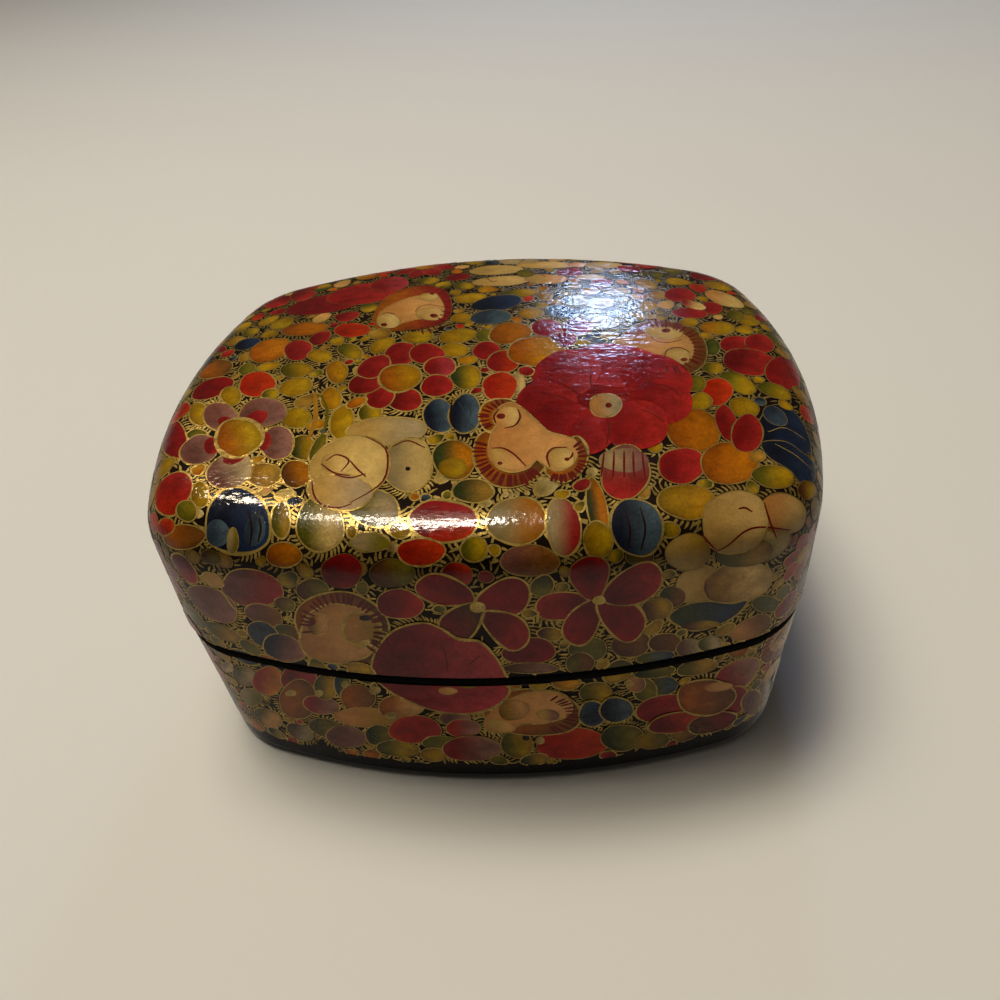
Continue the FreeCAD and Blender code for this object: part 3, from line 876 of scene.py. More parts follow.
def paint_left_shoulder():
    for it in (
        ("red>crimson", 171, 492, 22, 15, 60), ("golden", 200, 495, 8, 11, 0), ("olive", 187, 511, 9, 9, 45),
        ("orange>brown", 181, 537, 20, 11, 0), ("red", 165, 527, 8, 7, 60), ("orange", 284, 555, 16, 11, 0),
        ("ochre", 222, 560, 10, 6, -20),
    ):
        dab(*it)
    drawn("navy", [(206, 526), (210, 505), (224, 490), (244, 488), (262, 500), (270, 520), (268, 542), (250, 553),
                   (226, 552), (210, 542)], gold=1.6)
    dab("slate", 218, 533, 10, 12, 0, gold=0, hatch=False)
    dab("grey>olive", 233, 541, 5, 11, 0, gold=0.6, hatch=False)
    dab("slate", 255, 530, 9, 15, -10, gold=0, hatch=False)
    for points in ([(248, 510), (252, 528), (250, 546)], [(257, 512), (261, 528), (258, 542)]):
        line("ink", 1.6, points)


def paint_front_shoulder():
    for it in (
        ("maroon", 342, 571, 19, 15, 0), ("maroon>red", 457, 575, 14, 11, 0),
        ("brown>olive", 313, 590, 15, 10, 0), ("brown>olive", 211, 557, 9, 6, -20), ("mauve>crimson", 252, 588, 28, 17, -12),
        ("mauve", 212, 604, 26, 13, -28), ("olive>ochre", 222, 632, 18, 6, -22), ("mauve>brown", 264, 615, 18, 9, -20),
        ("olive>brown", 290, 632, 13, 6, -20), ("slate>navy", 263, 634, 15, 10, -35), ("navy>mauve", 284, 648, 19, 12, -20),
        ("olive>brown", 640, 557, 12, 8, 0), ("brown>olive", 285, 604, 9, 6, -20),
    ):
        dab(*it)
    drawn("mauve>brown", [(500, 562), (508, 550), (528, 544), (550, 550), (560, 563), (548, 574), (525, 576), (508, 572)])


def paint_wall_carnation():
    fringed((343, 628), 43, 34, -12, -30, 200, 26)
    drawn("tan", [(300, 636), (308, 615), (328, 604), (352, 606), (374, 614), (380, 634), (370, 654), (345, 663),
                        (316, 660), (303, 650)])
    eye_petal((319, 624), 10, 9, (313, 621), (2.5, 3.5), 0, "ochre>tan")
    dab("tan>ochre", 362, 628, 17, 14, -10, hatch=False, gold=1.6)
    dab("ink", 366, 617.5, 5.5, 2.5)
    dab("gold", 366, 644, 6, 3.5)
    dab("gold", 383, 634, 4, 2.5)


def paint_front_flowers():
    """The two five-petalled flowers on the lid's front and the buds round them."""
    for it in (
        ("brown>golden", 550, 634, 11, 6, 0), ("maroon", 529, 651, 25, 12, 2), ("olive", 588, 649, 17, 11, 5),
        ("green>brown", 672, 597, 12, 9, 0), ("brown>golden", 656, 609, 14, 10, 15), ("brown", 631, 644, 17, 12, 8),
        ("brown", 665, 643, 14, 9, 0), ("olive>green", 766, 604, 12, 7, 0), ("brown>mauve", 530, 668, 25, 5, 0),
        ("olive>brown", 580, 663, 13, 9, 5), ("mauve>grey", 690, 648, 13, 8, 5), ("olive>grey", 710, 644, 11, 7, 8),
        ("tan>brown", 752, 628, 20, 9, 28), ("olive>slate", 655, 657, 18, 5, 8), ("gold", 726, 645, 4, 3, 0),
    ):
        dab(*it)
    drawn("green>navy", [(668, 618), (682, 606), (705, 601), (730, 603), (748, 600), (735, 616), (712, 627), (690, 630)],
          gold=1.4)
    dab("brown>golden", 700, 625, 17, 4, 6, gold=0, hatch=False)
    dab("maroon>crimson", 400, 604, 22, 13, -5)
    for it in (
        ("crimson", 446, 591, 28, 13, 165), ("crimson>maroon", 503, 598, 26, 16, 15), ("maroon>crimson", 505, 628, 25, 14, -32),
        ("brown>maroon", 463, 621, 23, 15, 222),
    ):
        dab(*it, "petal", gold=1.2)
    dab("gold", 477.5, 607, 6.5, 4.5, 0)
    for it in (
        ("maroon>crimson", 567, 606, 28, 13, 183), ("maroon", 584, 621, 24, 14, 232), ("crimson>maroon", 620, 617, 24, 17, 322),
        ("maroon>crimson", 632, 586, 30, 16, 24), ("crimson>maroon", 590, 578, 20, 17, 98),
    ):
        dab(*it, "petal", gold=1.2)
    dab("gold", 599, 600, 5.5, 3.8, 0)
    line("gold", 1.6, [(206, 582), (222, 592), (232, 606), (240, 612)])


def paint_crossing_flower():
    """The great mauve-crimson flower that runs from the lid on to the base."""
    drawn("maroon>rose", [(372, 672), (374, 655), (386, 636), (402, 626), (425, 622), (442, 628), (458, 638),
                          (480, 641), (494, 654), (503, 668), (510, 690), (495, 706), (470, 713), (440, 711),
                          (415, 703), (398, 695), (384, 686)], gold=1.5)
    for points in ([(440, 640), (446, 655), (448, 672)], [(400, 650), (418, 660), (432, 674)], [(480, 655), (468, 664)]):
        line("umber", 1.2, points)
    dab("tan", 448, 690, 8, 3, 0, gold=0.7, hatch=False)
    dab("ochre", 468, 684, 9, 3, 0, gold=0, hatch=False)


def paint_base_front():
    for it in (
        ("olive>grey", 244, 676, 11, 8, -20), ("mauve>grey", 227, 667, 6, 5, -20), ("grey>olive", 251, 697, 10, 8, -25),
        ("red>orange", 268, 681, 13, 13, -15), ("crimson>rose", 299, 680, 17, 13, -8), ("orange>brown", 298, 700, 17, 17, 0),
        ("rose>mauve", 321, 705, 16, 8, -10), ("olive>golden", 326, 687, 10, 11, 0), ("slate>green", 342, 682, 7, 12, 0),
        ("olive>tan", 268, 718, 14, 8, -30), ("olive", 325, 728, 15, 8, -15), ("mauve", 346, 737, 18, 10, -5),
        ("brown>grey", 300, 732, 13, 7, -25), ("orange>brown", 358, 697, 16, 11, -5), ("tan>ochre", 366, 717, 29, 9, -3),
        ("green>olive", 380, 735, 13, 9, 0), ("olive>golden", 398, 748, 20, 7, -3), ("orange>tan", 401, 706, 20, 11, 0),
        ("red>crimson", 415, 729, 23, 13, 0), ("olive", 440, 742, 16, 6, 0), ("golden", 434, 754, 12, 6, 0),
        ("mauve", 455, 718, 14, 7, 0), ("red>mauve", 463, 728, 15, 8, 0), ("crimson>mauve", 472, 748, 28, 11, 0),
        ("olive>golden", 517, 744, 14, 12, 0), ("red", 572, 743, 34, 14, 3), ("green>olive", 622, 737, 19, 12, 5),
        ("olive>golden", 596, 693, 14, 10, 0), ("olive>slate", 663, 686, 13, 8, 8), ("olive", 645, 690, 10, 10, 0),
        ("tan>mauve", 636, 684, 8, 7, 0), ("green>olive", 655, 672, 19, 5, 8), ("olive>ochre", 697, 667, 18, 7, 12),
        ("golden>olive", 652, 740, 15, 7, 8), ("golden>brown", 684, 734, 12, 6, 8), ("brown>grey", 765, 690, 9, 14, 0),
        ("gold", 391, 715, 5, 3, 0), ("gold", 345, 684, 3, 3, 0), ("gold", 375, 690, 5, 3.5, 0), ("gold", 291, 693, 5, 2.5, 0),
        ("gold", 319, 693, 3.5, 3, 0), ("gold", 540, 740, 4, 3, 0), ("gold", 629, 683, 4, 2.5, 0), ("ink", 526, 737, 3, 2.5, 0),
    ):
        dab(*it)
    fringed((533, 712), 46, 21, -4, -60, 60, 14)
    drawn("tan", [(484, 722), (494, 707), (512, 697), (535, 690), (558, 691), (571, 700), (569, 714), (548, 722),
                  (522, 724), (505, 732), (490, 730)])
    dab("golden>tan", 514, 709, 14, 9, 10, hatch=False, gold=0)
    dab("cream>mauve", 548, 714, 10, 5, -5, hatch=False, gold=0.5)
    dab("cream>tan", 501, 725, 13, 5, -12, hatch=False, gold=0.5)
    dab("slate>navy", 592, 713, 12, 11, 0, gold=1.2)
    dab("navy>slate", 616, 709, 15, 11, 8, gold=1.2)
    for it in (
        ("crimson", 664, 708, 27, 12, 14), ("maroon>red", 676, 722, 26, 9, 10), ("rose>mauve", 738, 675, 22, 13, 30),
        ("maroon", 734, 700, 14, 12, 30), ("brown>maroon", 712, 722, 22, 9, 15), ("mauve>brown", 752, 703, 9, 13, -20),
    ):
        dab(*it, gold=1.2)
    dab("orange>brown", 706, 697, 27, 16, 5, gold=1.3)
    dab("tan", 718, 686, 12, 4, 5, gold=0, hatch=False)


def paint_seen_side():
    for part in (
        paint_back, paint_back_middle, paint_back_right, paint_middle, paint_left_shoulder, paint_front_shoulder,
        paint_base_front, paint_back_carnation, paint_right_carnation, paint_rosette, paint_mauve_flower,
        paint_peony, paint_cream_rose, paint_navy_pair, paint_front_carnation, paint_striped_fan, paint_right_rose,
        paint_wall_carnation, paint_front_flowers, paint_crossing_flower,
    ):
        part()


def daisy(spot, reach, paint, centre="orange>amber", petals=8):
    """Petals in a ring round a raised centre."""
    for angle in np.arange(petals) * 360 / petals + chance.uniform(0, 40):
        at = spun(np.array([0.66 * reach, 0.0]), angle)
        dab(paint, at[0], at[1], 0.36 * reach, 2.15 / petals * reach, angle + 180, "petal", spot)
    dab(centre, 0, 0, 0.36 * reach, 0.31 * reach, chance.uniform(0, 90), spot=spot, gold=1.4)


def open_flower(spot, reach, paint, centre="gold"):
    """Five broad petals round a gold dot."""
    for angle in np.arange(5) * 72 + chance.uniform(0, 70):
        at = spun(np.array([0.54 * reach, 0.0]), angle)
        dab(paint, at[0], at[1], 0.44 * reach, 0.34 * reach, angle, "petal", spot, gold=1.3)
    dab(centre, 0, 0, 0.13 * reach, 0.11 * reach, spot=spot)


def full_flower(spot, reach, paint):
    """Overlapping lobes round a pale disc."""
    for angle in np.arange(7) * 360 / 7 + chance.uniform(0, 50):
        at = spun(np.array([0.54 * reach, 0.0]), angle)
        dab(paint, at[0], at[1], 0.46 * reach, 0.36 * reach, angle, spot=spot, gold=0.5, hatch=False)
        line("umber", 0.2, [spun(np.array([r * reach, 0.0]), angle + 26) for r in (0.24, 0.45, 0.68)], spot)
    dab("cream>tan", 0, 0, 0.22 * reach, 0.19 * reach, spot=spot, hatch=False)
    dab("umber", 0, 0, 0.055 * reach, 0.05 * reach, spot=spot)


def fan_flower(spot, reach):
    """A carnation: a striped fringe, a buff body and folded cream petals that spread from near one edge."""
    fringed((0, 0), reach, 0.86 * reach, 0, 0, 350, 34, spot)
    dab("tan>orange", 0, 0, 0.76 * reach, 0.64 * reach, 0, "oval", spot, gold=0.7, hatch=False)
    root = np.array([-0.42, -0.06]) * reach
    for angle, long, wide in ((-52, 0.30, 0.17), (48, 0.32, 0.18), (-20, 0.44, 0.19), (22, 0.42, 0.17), (0, 0.50, 0.15)):
        at = root + spun(np.array([long * reach, 0.0]), angle)
        dab("cream>tan", at[0], at[1], long * reach, wide * reach, angle, "petal", spot, gold=0.4, hatch=False)
        line("umber", 0.16, [root + spun(np.array([r * long * reach, 0.02 * reach]), angle) for r in (0.5, 1.0, 1.7)], spot)
    dab("orange>brown", root[0], root[1], 0.15 * reach, 0.13 * reach, spot=spot, gold=0.8, hatch=False)


def pale_rose(spot, reach):
    """Cream lobes folded about each other, with brown fold lines."""
    for x, y, long, wide, turn in ((0.05, 0.5, 0.7, 0.36, 5), (0.55, -0.05, 0.4, 0.46, 0), (-0.1, -0.35, 0.66, 0.44, -5),
                                   (-0.18, 0.08, 0.62, 0.52, 0)):
        dab("cream>grey", x * reach, y * reach, long * reach, wide * reach, turn, spot=spot)
    for points in ([(-0.6, 0.2), (-0.3, 0.42), (0.1, 0.36), (0.3, 0.05)], [(-0.4, 0.0), (-0.1, -0.12), (0.12, 0.04)],
                   [(0.3, 0.2), (0.5, 0.3), (0.8, 0.15)]):
        line("umber", 0.24, np.array(points) * reach, spot)


def blue_pair(spot, reach):
    """Two navy petals with dark veins and a leaf beside them."""
    dab("navy>slate", -0.3 * reach, 0.05 * reach, 0.58 * reach, 0.44 * reach, 80, spot=spot, gold=1.3)
    dab("navy>slate", 0.36 * reach, 0.1 * reach, 0.6 * reach, 0.42 * reach, 100, spot=spot, gold=1.3)
    for x in (-0.36, -0.18, 0.28, 0.46):
        line("ink", 0.2, [(x * reach, 0.45 * reach), (x * reach * 0.9, 0.1 * reach), (x * reach * 0.8, -0.3 * reach)], spot)
    dab("green>golden", 0.02 * reach, -0.62 * reach, 0.6 * reach, 0.26 * reach, 4, "leaf", spot)


MOTIFS = (
    (8.2, lambda spot, reach: full_flower(spot, reach, "crimson")),
    (7.2, fan_flower),
    (6.8, pale_rose),
    (6.6, lambda spot, reach: open_flower(spot, reach, "maroon>crimson")),
    (6.2, lambda spot, reach: daisy(spot, reach, "crimson")),
    (6.2, lambda spot, reach: daisy(spot, reach, "mauve", "orange>golden", 6)),
    (5.0, blue_pair),
    (5.4, lambda spot, reach: open_flower(spot, reach, "crimson>maroon")),
    (5.0, lambda spot, reach: daisy(spot, reach, "red>crimson", "golden", 7)),
    (5.2, pale_rose),
)
BUD_PAINTS = (
    "golden", "olive>golden", "amber", "orange", "olive", "green>golden", "crimson", "golden", "red", "ochre",
    "olive>golden", "orange>amber", "maroon>crimson", "golden", "olive>golden", "cream>tan", "navy>slate", "green>ochre",
)
BUD_GAP = 0.10 * MM
SMALLEST_BUD = 0.62 * MM
BIGGEST_BUD = 2.5 * MM


def skin_candidates(count):
    """Places strewn over the skin: points in a box about it, each set on the nearest skin."""
    low = np.array([-HALF_LENGTH, -HALF_DEPTH, BASE_PAINT_LOW])
    high = np.array([HALF_LENGTH, HALF_DEPTH, TOP])
    axis = chance.integers(0, 3, count)
    end = chance.integers(0, 2, count)
    places = chance.uniform(low, high, (count, 3))
    rows = np.arange(count)
    places[rows, axis] = np.where(end, high[axis], np.where(axis == 2, high[axis], low[axis]))
    return settle(places)


def clearance(points, centres, reaches, sizes):
    """How far points lie from the nearest shape's edge: each shape is taken as an oval, far ones as round."""
    free = np.full(len(points), 1.0)
    for centre, reach, size in zip(centres, reaches, sizes):
        offset = points - centre
        away = np.linalg.norm(offset, axis=-1)
        near = np.nonzero(away < size + 2 * BIGGEST_BUD + 8 * MM)[0]
        distance = away[near] - size
        close = away[near] < 1.7 * size
        value = oval_value(offset[near][close], reach)
        distance[close] = away[near][close] * (1 - 1 / np.maximum(value, 0.05))
        free[near] = np.minimum(free[near], distance)
    return free


def oval_value(offset, reach):
    a, b, c = reach[0] @ reach[0], reach[0] @ reach[1], reach[1] @ reach[1]
    p, q = offset @ reach[0], offset @ reach[1]
    return np.hypot(p * c - q * b, q * a - p * b) / (a * c - b * b)


def fill_round():
    """Flowers and then ever smaller buds in the ground that is still bare, all round the box."""
    places, outs = skin_candidates(15000)
    lay_out(dabs)
    free = clearance(places, *(np.array([getattr(item, name) for item in dabs]) for name in ("centre", "reach", "size")))
    foot_room = places[:, 2] - BASE_PAINT_LOW
    for step in range(90):
        reach, paint = MOTIFS[step % len(MOTIFS)]
        reach = reach * chance.uniform(0.86, 1.08)
        room = np.nonzero((free > reach * MM * 0.93) & (foot_room > reach * MM * 0.7))[0]
        if len(room) == 0:
            continue
        snug = room[np.argsort(free[room] + chance.uniform(0, 2.5 * MM, len(room)))[0]]
        paint(spot_on(places[snug], outs[snug], chance.uniform(0, 360)), reach)
        free = np.minimum(free, np.linalg.norm(places - places[snug], axis=-1) - reach * MM)
    lay_out(dabs)
    free = clearance(places, *(np.array([getattr(item, name) for item in dabs]) for name in ("centre", "reach", "size")))
    room = np.minimum(free, foot_room + 0.5 * MM)
    for _ in range(2600):
        best = int(np.argmax(np.minimum(room, BIGGEST_BUD) + chance.uniform(0, 0.25 * MM, len(room))))
        reach = min(room[best], BIGGEST_BUD * chance.uniform(0.7, 1.0)) - BUD_GAP
        if reach < SMALLEST_BUD:
            break
        spot = spot_on(places[best], outs[best], chance.uniform(0, 360))
        paint = BUD_PAINTS[chance.integers(len(BUD_PAINTS))]
        long, wide = reach * chance.uniform(1.08, 1.32), reach * chance.uniform(0.9, 1.0)
        dab(paint, 0, 0, long / MM, wide / MM, 0, ("oval", "petal", "oval")[chance.integers(3)], spot)
        taken = np.stack([spot[1], spot[2]]) / MM * np.array([[long], [wide]])
        offset = places - places[best]
        away = np.linalg.norm(offset, axis=-1)
        near = np.nonzero(away < 4 * BIGGEST_BUD)[0]
        value = oval_value(offset[near], taken)
        room[near] = np.minimum(room[near], away[near] * (1 - 1 / np.maximum(value, 0.05)))


def spot_on(place, out, turn):
    """A spot on the skin with steps of a millimetre, turned from level by an angle."""
    level = unit(np.cross([0.0, 0.0, 1.0], out) + np.array([TINY, 0.0, 0.0]))
    rise = np.cross(out, level)
    cos, sin = math.cos(math.radians(turn)), math.sin(math.radians(turn))
    return place, (level * cos + rise * sin) * MM, (rise * cos - level * sin) * MM


def spread(spots, offsets):
    """Places on the skin at offsets from spots, each a place and its steps to the right and up, by walking there."""
    place, right, up = (np.asarray(v)[:, None, None, :] for v in spots)
    step = right * offsets[..., :1] + up * offsets[..., 1:]
    reach = np.linalg.norm(step, axis=-1)
    start = np.broadcast_to(place, step.shape)
    stops, outs, _ = walk(start, unit(step), reach, 8)
    return stops[..., -1, :], outs[..., -1, :]


def spot_at(pixel):
    """A spot on the skin at a pixel, whose steps are one pixel of the picture, shortened where they are very long."""
    place, out = seen_at(np.asarray(pixel, float)[None])
    steps = [step * min(1.0, PIXEL_LIMIT / np.linalg.norm(step)) for step in (s[0] for s in picture_axes(place, out))]
    return place[0], steps[0], steps[1]


def find_hidden(items):
    """Gives a spot of its own to each shape whose edge doesn't all show to the camera, well away from the outline."""
    for count in (32, 64):
        group = [item for item in items if item.spot is None and len(item.rim) == count]
        if not group:
            continue
        pixels = np.array([item.middle + item.rim[::4] * [1, -1] for item in group])
        places, outs = seen_at(pixels)
        facing = (unit(EYE - places) * outs).sum(-1).min(axis=1)
        missed = np.abs(shown_at(places) - pixels).max(axis=(1, 2))
        for item, clear, miss in zip(group, facing, missed):
            if clear < 0.46 or miss > 0.4:
                item.spot = spot_at(item.middle)
                item.middle = np.zeros(2)


def lay_out(items):
    """Works out each shape's grid of places and outward directions, from its middle to its edge."""
    items = [item for item in items if item.centre is None]
    find_hidden(items)
    for seen in (True, False):
        for count in (32, 64):
            group = [item for item in items if (item.spot is None) == seen and len(item.rim) == count]
            if not group:
                continue
            shares = np.linspace(0, 1, 6 if count == 32 else 11)[1:, None]
            flip = [1, -1] if seen else [1, 1]
            middles = np.array([item.middle for item in group])[:, None, None]
            rims = np.array([item.rim for item in group])[:, :, None]
            offsets = middles + rims * shares * flip
            if seen:
                places, outs = seen_at(offsets)
                centres, centre_outs = seen_at(middles[:, 0, 0])
            else:
                spots = [np.array([item.spot[k] for item in group]) for k in range(3)]
                places, outs = spread(spots, offsets)
                centres, centre_outs = (v[:, 0, 0] for v in spread(spots, middles))
            for k, item in enumerate(group):
                item.places, item.outs = places[k], outs[k]
                item.centre, item.centre_out = centres[k], centre_outs[k]
                edge = item.places[:, -1]
                quarter = count // 4
                item.reach = np.stack([(edge[0] - edge[2 * quarter]) / 2, (edge[quarter] - edge[3 * quarter]) / 2])
                item.size = np.linalg.norm(edge - item.centre, axis=-1).max()


def inside(points, centres, reaches, sizes):
    """How far points lie out in each shape's oval, from 0 in the middle to 1 at the edge; far ones count as 9."""
    offset = points[..., None, :] - centres
    near = (offset ** 2).sum(-1) < (sizes * 1.2) ** 2
    first, second = reaches[:, 0], reaches[:, 1]
    a, b, c = (first * first).sum(-1), (first * second).sum(-1), (second * second).sum(-1)
    p, q = (offset * first).sum(-1), (offset * second).sum(-1)
    whole = a * c - b * b
    return np.where(near, np.hypot(p * c - q * b, q * a - p * b) / whole, 9.0)


def stack_up(items):
    """Gives each shape a level one above the highest of the earlier shapes that it overlaps."""
    centres = np.array([item.centre for item in items])
    reaches = np.array([item.reach for item in items])
    sizes = np.array([item.size for item in items])
    levels = np.zeros(len(items), int)
    rims = np.array([item.places[::len(item.rim) // 8, -1] for item in items])
    for k in range(1, len(items)):
        near = np.nonzero(np.linalg.norm(centres[:k] - centres[k], axis=-1) < sizes[:k] + sizes[k])[0]
        if len(near) == 0:
            continue
        mine = np.concatenate([rims[k], centres[k:k + 1]])
        touching = inside(mine, centres[near], reaches[near], sizes[near]).min(axis=0) < 1.08
        theirs = np.concatenate([rims[near], centres[near][:, None]], axis=1)
        back = inside(theirs, centres[k:k + 1], reaches[k:k + 1], sizes[k:k + 1])[..., 0].min(axis=1) < 1.08
        over = near[touching | back]
        levels[k] = levels[over].max() + 1 if len(over) else 0
    for item, level in zip(items, levels):
        item.level = int(level)
    return centres, reaches, sizes


def trim(points, outs, part):
    """Keeps paint within the lid or the base: what lies past the edge is set back on it. Gives what was cut too."""
    low, high = (LID_PAINT_LOW, 1.0) if part == "lid" else (BASE_PAINT_LOW, BASE_PAINT_HIGH)
    cut = (points[..., 2] < low) | (points[..., 2] > high)
    moved = points.copy()
    moved[..., 2] = np.clip(points[..., 2], low, high)
    place, out = settle(moved)
    return np.where(cut[..., None], place, points), np.where(cut[..., None], out, outs), cut


class Sheet:
    """Gathers many small painted shapes into one mesh."""

    def __init__(self):
        self.places, self.outs, self.paints, self.grains, self.faces = [], [], [], [], []
        self.count = 0

    def add(self, places, outs, paints, grains, faces, cut):
        kept = faces[~cut[faces].all(axis=1)]
        if len(kept) == 0:
            return
        self.places.append(places)
        self.outs.append(outs)
        self.paints.append(np.broadcast_to(paints, places.shape))
        self.grains.append(grains)
        self.faces.append(kept + self.count)
        self.count += len(places)

    def build(self, name):
        points, outs = np.concatenate(self.places), np.concatenate(self.outs)
        faces = []
        for rows in self.faces:
            wide = rows[rows[:, 2] != rows[:, 3]]
            narrow = rows[rows[:, 2] == rows[:, 3]]
            faces += wide.tolist() + narrow[:, :3].tolist()
        return add_mesh(name, points, faces, outs, np.concatenate(self.paints), np.concatenate(self.grains))


def disc_faces(spokes, rings):
    """Faces of a shape made of spokes and rings round a middle point, which is numbered 0; its edge turns down."""
    spoke = np.arange(spokes)[:, None] * rings
    beside = np.roll(spoke, -1, axis=0)
    ring = np.arange(rings - 1)
    quads = np.stack([spoke + ring, spoke + ring + 1, beside + ring + 1, beside + ring], axis=-1).reshape(-1, 4) + 1
    middle = np.zeros(spokes, int)
    fans = np.stack([middle, spoke[:, 0] + 1, beside[:, 0] + 1, beside[:, 0] + 1], axis=-1)
    return np.concatenate([fans, quads])


def paint_shape(sheet, item, part):
    """Puts one shape on its sheet: tones run from root to tip and to a lighter rim, and the edge dips into the skin."""
    spokes, rings = item.places.shape[:2]
    lift = FIRST_LIFT + LEVEL_LIFT * item.level
    places = np.concatenate([item.centre[None], item.places.reshape(-1, 3)])
    outs = np.concatenate([item.centre_out[None], item.outs.reshape(-1, 3)])
    places, outs, cut = trim(places, outs, part)
    share = np.linspace(0, 1, rings + 1)[1:]
    along = item.along[:, None] * share
    blend = np.clip(0.5 + 0.75 * along, 0, 1)[..., None]
    blend = blend * blend * (3 - 2 * blend)
    tone = item.root + (item.tip - item.root) * blend
    edge_tone = {"buds": -0.42, "blossoms": -0.20}.get(item.family, 0.30)
    tone = tone * (1 + edge_tone * share[:, None] ** 4)
    middle_tone = (item.root + item.tip) / 2
    tones = np.concatenate([middle_tone[None], tone.reshape(-1, 3)])
    # Painted shade: the paint is darkened in a band along the shoulder.
    tones = tones * (1 - SHOULDER_SHADE_DEPTH * shoulder_painted_shade(places))[:, None]
    turn = np.linspace(0, 1, spokes, endpoint=False)[:, None] * 2 * math.pi
    length = np.linalg.norm(item.places - item.centre, axis=-1)
    grain = np.stack([np.cos(turn) * length, np.sin(turn) * length], axis=-1) / MM
    grain = np.concatenate([np.zeros((1, 2)), grain.reshape(-1, 2)]) + chance.uniform(0, 90, 2)
    raised = places + outs * lift
    skirt = 1 + np.arange(spokes) * rings + rings - 1
    low = places[skirt] - outs[skirt] * LEVEL_LIFT
    count = len(raised)
    beside = np.roll(skirt, -1)
    under = count + np.arange(spokes)
    faces = np.concatenate([
        disc_faces(spokes, rings),
        np.stack([skirt, under, np.roll(under, -1), beside], axis=-1),
    ])
    sheet.add(np.concatenate([raised, low]), np.concatenate([outs, outs[skirt]]), np.concatenate([tones, tones[skirt]]),
              np.concatenate([grain, grain[skirt]]), faces, np.concatenate([cut, cut[skirt]]))


def ribbon_faces(length, closed):
    first = np.arange(length if closed else length - 1)
    following = (first + 1) % length
    return np.stack([2 * first, 2 * first + 1, 2 * following + 1, 2 * following], axis=-1)


def sideways(middles, outs, closed):
    """Directions across a line on the skin."""
    if closed:
        ahead = np.roll(middles, -1, axis=-2) - np.roll(middles, 1, axis=-2)
    else:
        ahead = np.gradient(middles, axis=-2)
    return unit(np.cross(unit(ahead), outs))


def add_ribbon(sheet, middles, outs, widths, lift, tone, part, closed=False):
    """A thin painted line: its two edges lie half its width to each side, lifted off the skin."""
    middles, outs, cut = trim(middles, outs, part)
    side = sideways(middles, outs, closed) * (widths / 2)[:, None]
    places = np.stack([middles - side, middles + side], axis=1) + (outs * lift)[:, None]
    length = np.concatenate([[0], np.cumsum(np.linalg.norm(np.diff(middles, axis=0), axis=-1))]) / MM
    grain = np.stack([np.stack([length, np.zeros_like(length)], -1), np.stack([length, np.ones_like(length)], -1)], 1)
    grain = grain + chance.uniform(0, 90, 2)
    sheet.add(places.reshape(-1, 3), np.repeat(outs, 2, axis=0), tone, grain.reshape(-1, 2),
              ribbon_faces(len(middles), closed), np.repeat(cut, 2))


def shoulder_painted_shade(places):
    """A band along the shoulder's edge, 1 in its middle and fading to 0 above and below: painted shade, which darkens
    the paint and the gold there.
    """
    return np.exp(-((crown(places[..., :2])[0] - places[..., 2] - SHADE_BAND_BELOW_CROWN) / SHADE_BAND_WIDTH) ** 2)


def gold_fade_and_shade(places):
    """How much of the gold's width and tone is kept: it thins and darkens towards the back and the right, and along the
    shoulder's edge it is darkened as painted shade.
    """
    back, right = (
        np.clip((places[..., axis] - first) / (last - first), 0, 1)
        for axis, (first, last) in ((1, GOLD_FADE_AT_BACK), (0, GOLD_FADE_AT_RIGHT))
    )
    high = np.clip((places[..., 2] - SEAM) / (TOP - SEAM) * 1.6, 0, 1)
    return (1 - 0.58 * np.maximum(back, right) * high) * (1 - 0.62 * shoulder_painted_shade(places))


def outline(sheet, item, part):
    edge, outs = item.places[:, -1], item.outs[:, -1]
    angle = np.linspace(0, 2 * math.pi, len(edge), endpoint=False)
    width = OUTLINE_WIDTH * item.gold * (1 + 0.22 * np.sin(2 * angle + chance.uniform(0, 6)))
    # The outline's gold thins and darkens towards the back and the right, and darkens along the shoulder as painted
    # shade.
    left = gold_fade_and_shade(item.centre)
    width = width * left * (1 + 0.18 * np.sin(5 * angle + chance.uniform(0, 6)))
    tone = linear(PAINTS["gold"][0]) * chance.normal(1, 0.08) * left
    lift = FIRST_LIFT + LEVEL_LIFT * item.level + OUTLINE_LIFT
    add_ribbon(sheet, edge, outs, width, lift, tone, part, True)


def stroke_starts(item, index):
    """Where the strokes round one shape start, and the directions that each goes and bends in."""
    edge, outs = item.places[:, -1], item.outs[:, -1]
    total = np.linalg.norm(np.roll(edge, -1, axis=0) - edge, axis=-1).sum()
    count = int(total / STROKE_SPACING)
    at = (np.arange(count) + chance.uniform(-0.15, 0.15, count)) % count / count * len(edge)
    first = at.astype(int) % len(edge)
    following = (first + 1) % len(edge)
    share = (at - np.floor(at))[:, None]
    place = edge[first] * (1 - share) + edge[following] * share
    out = unit(outs[first] * (1 - share) + outs[following] * share)
    tangent = unit(edge[following] - edge[first])
    away = unit(np.cross(tangent, out))
    away = away * np.sign((away * (place - item.centre)).sum(-1, keepdims=True))
    slant = 0.35 if index % 2 else -0.35
    bend = tangent * np.sign(slant)
    return place + away * 0.20 * MM, unit(away + tangent * slant), bend


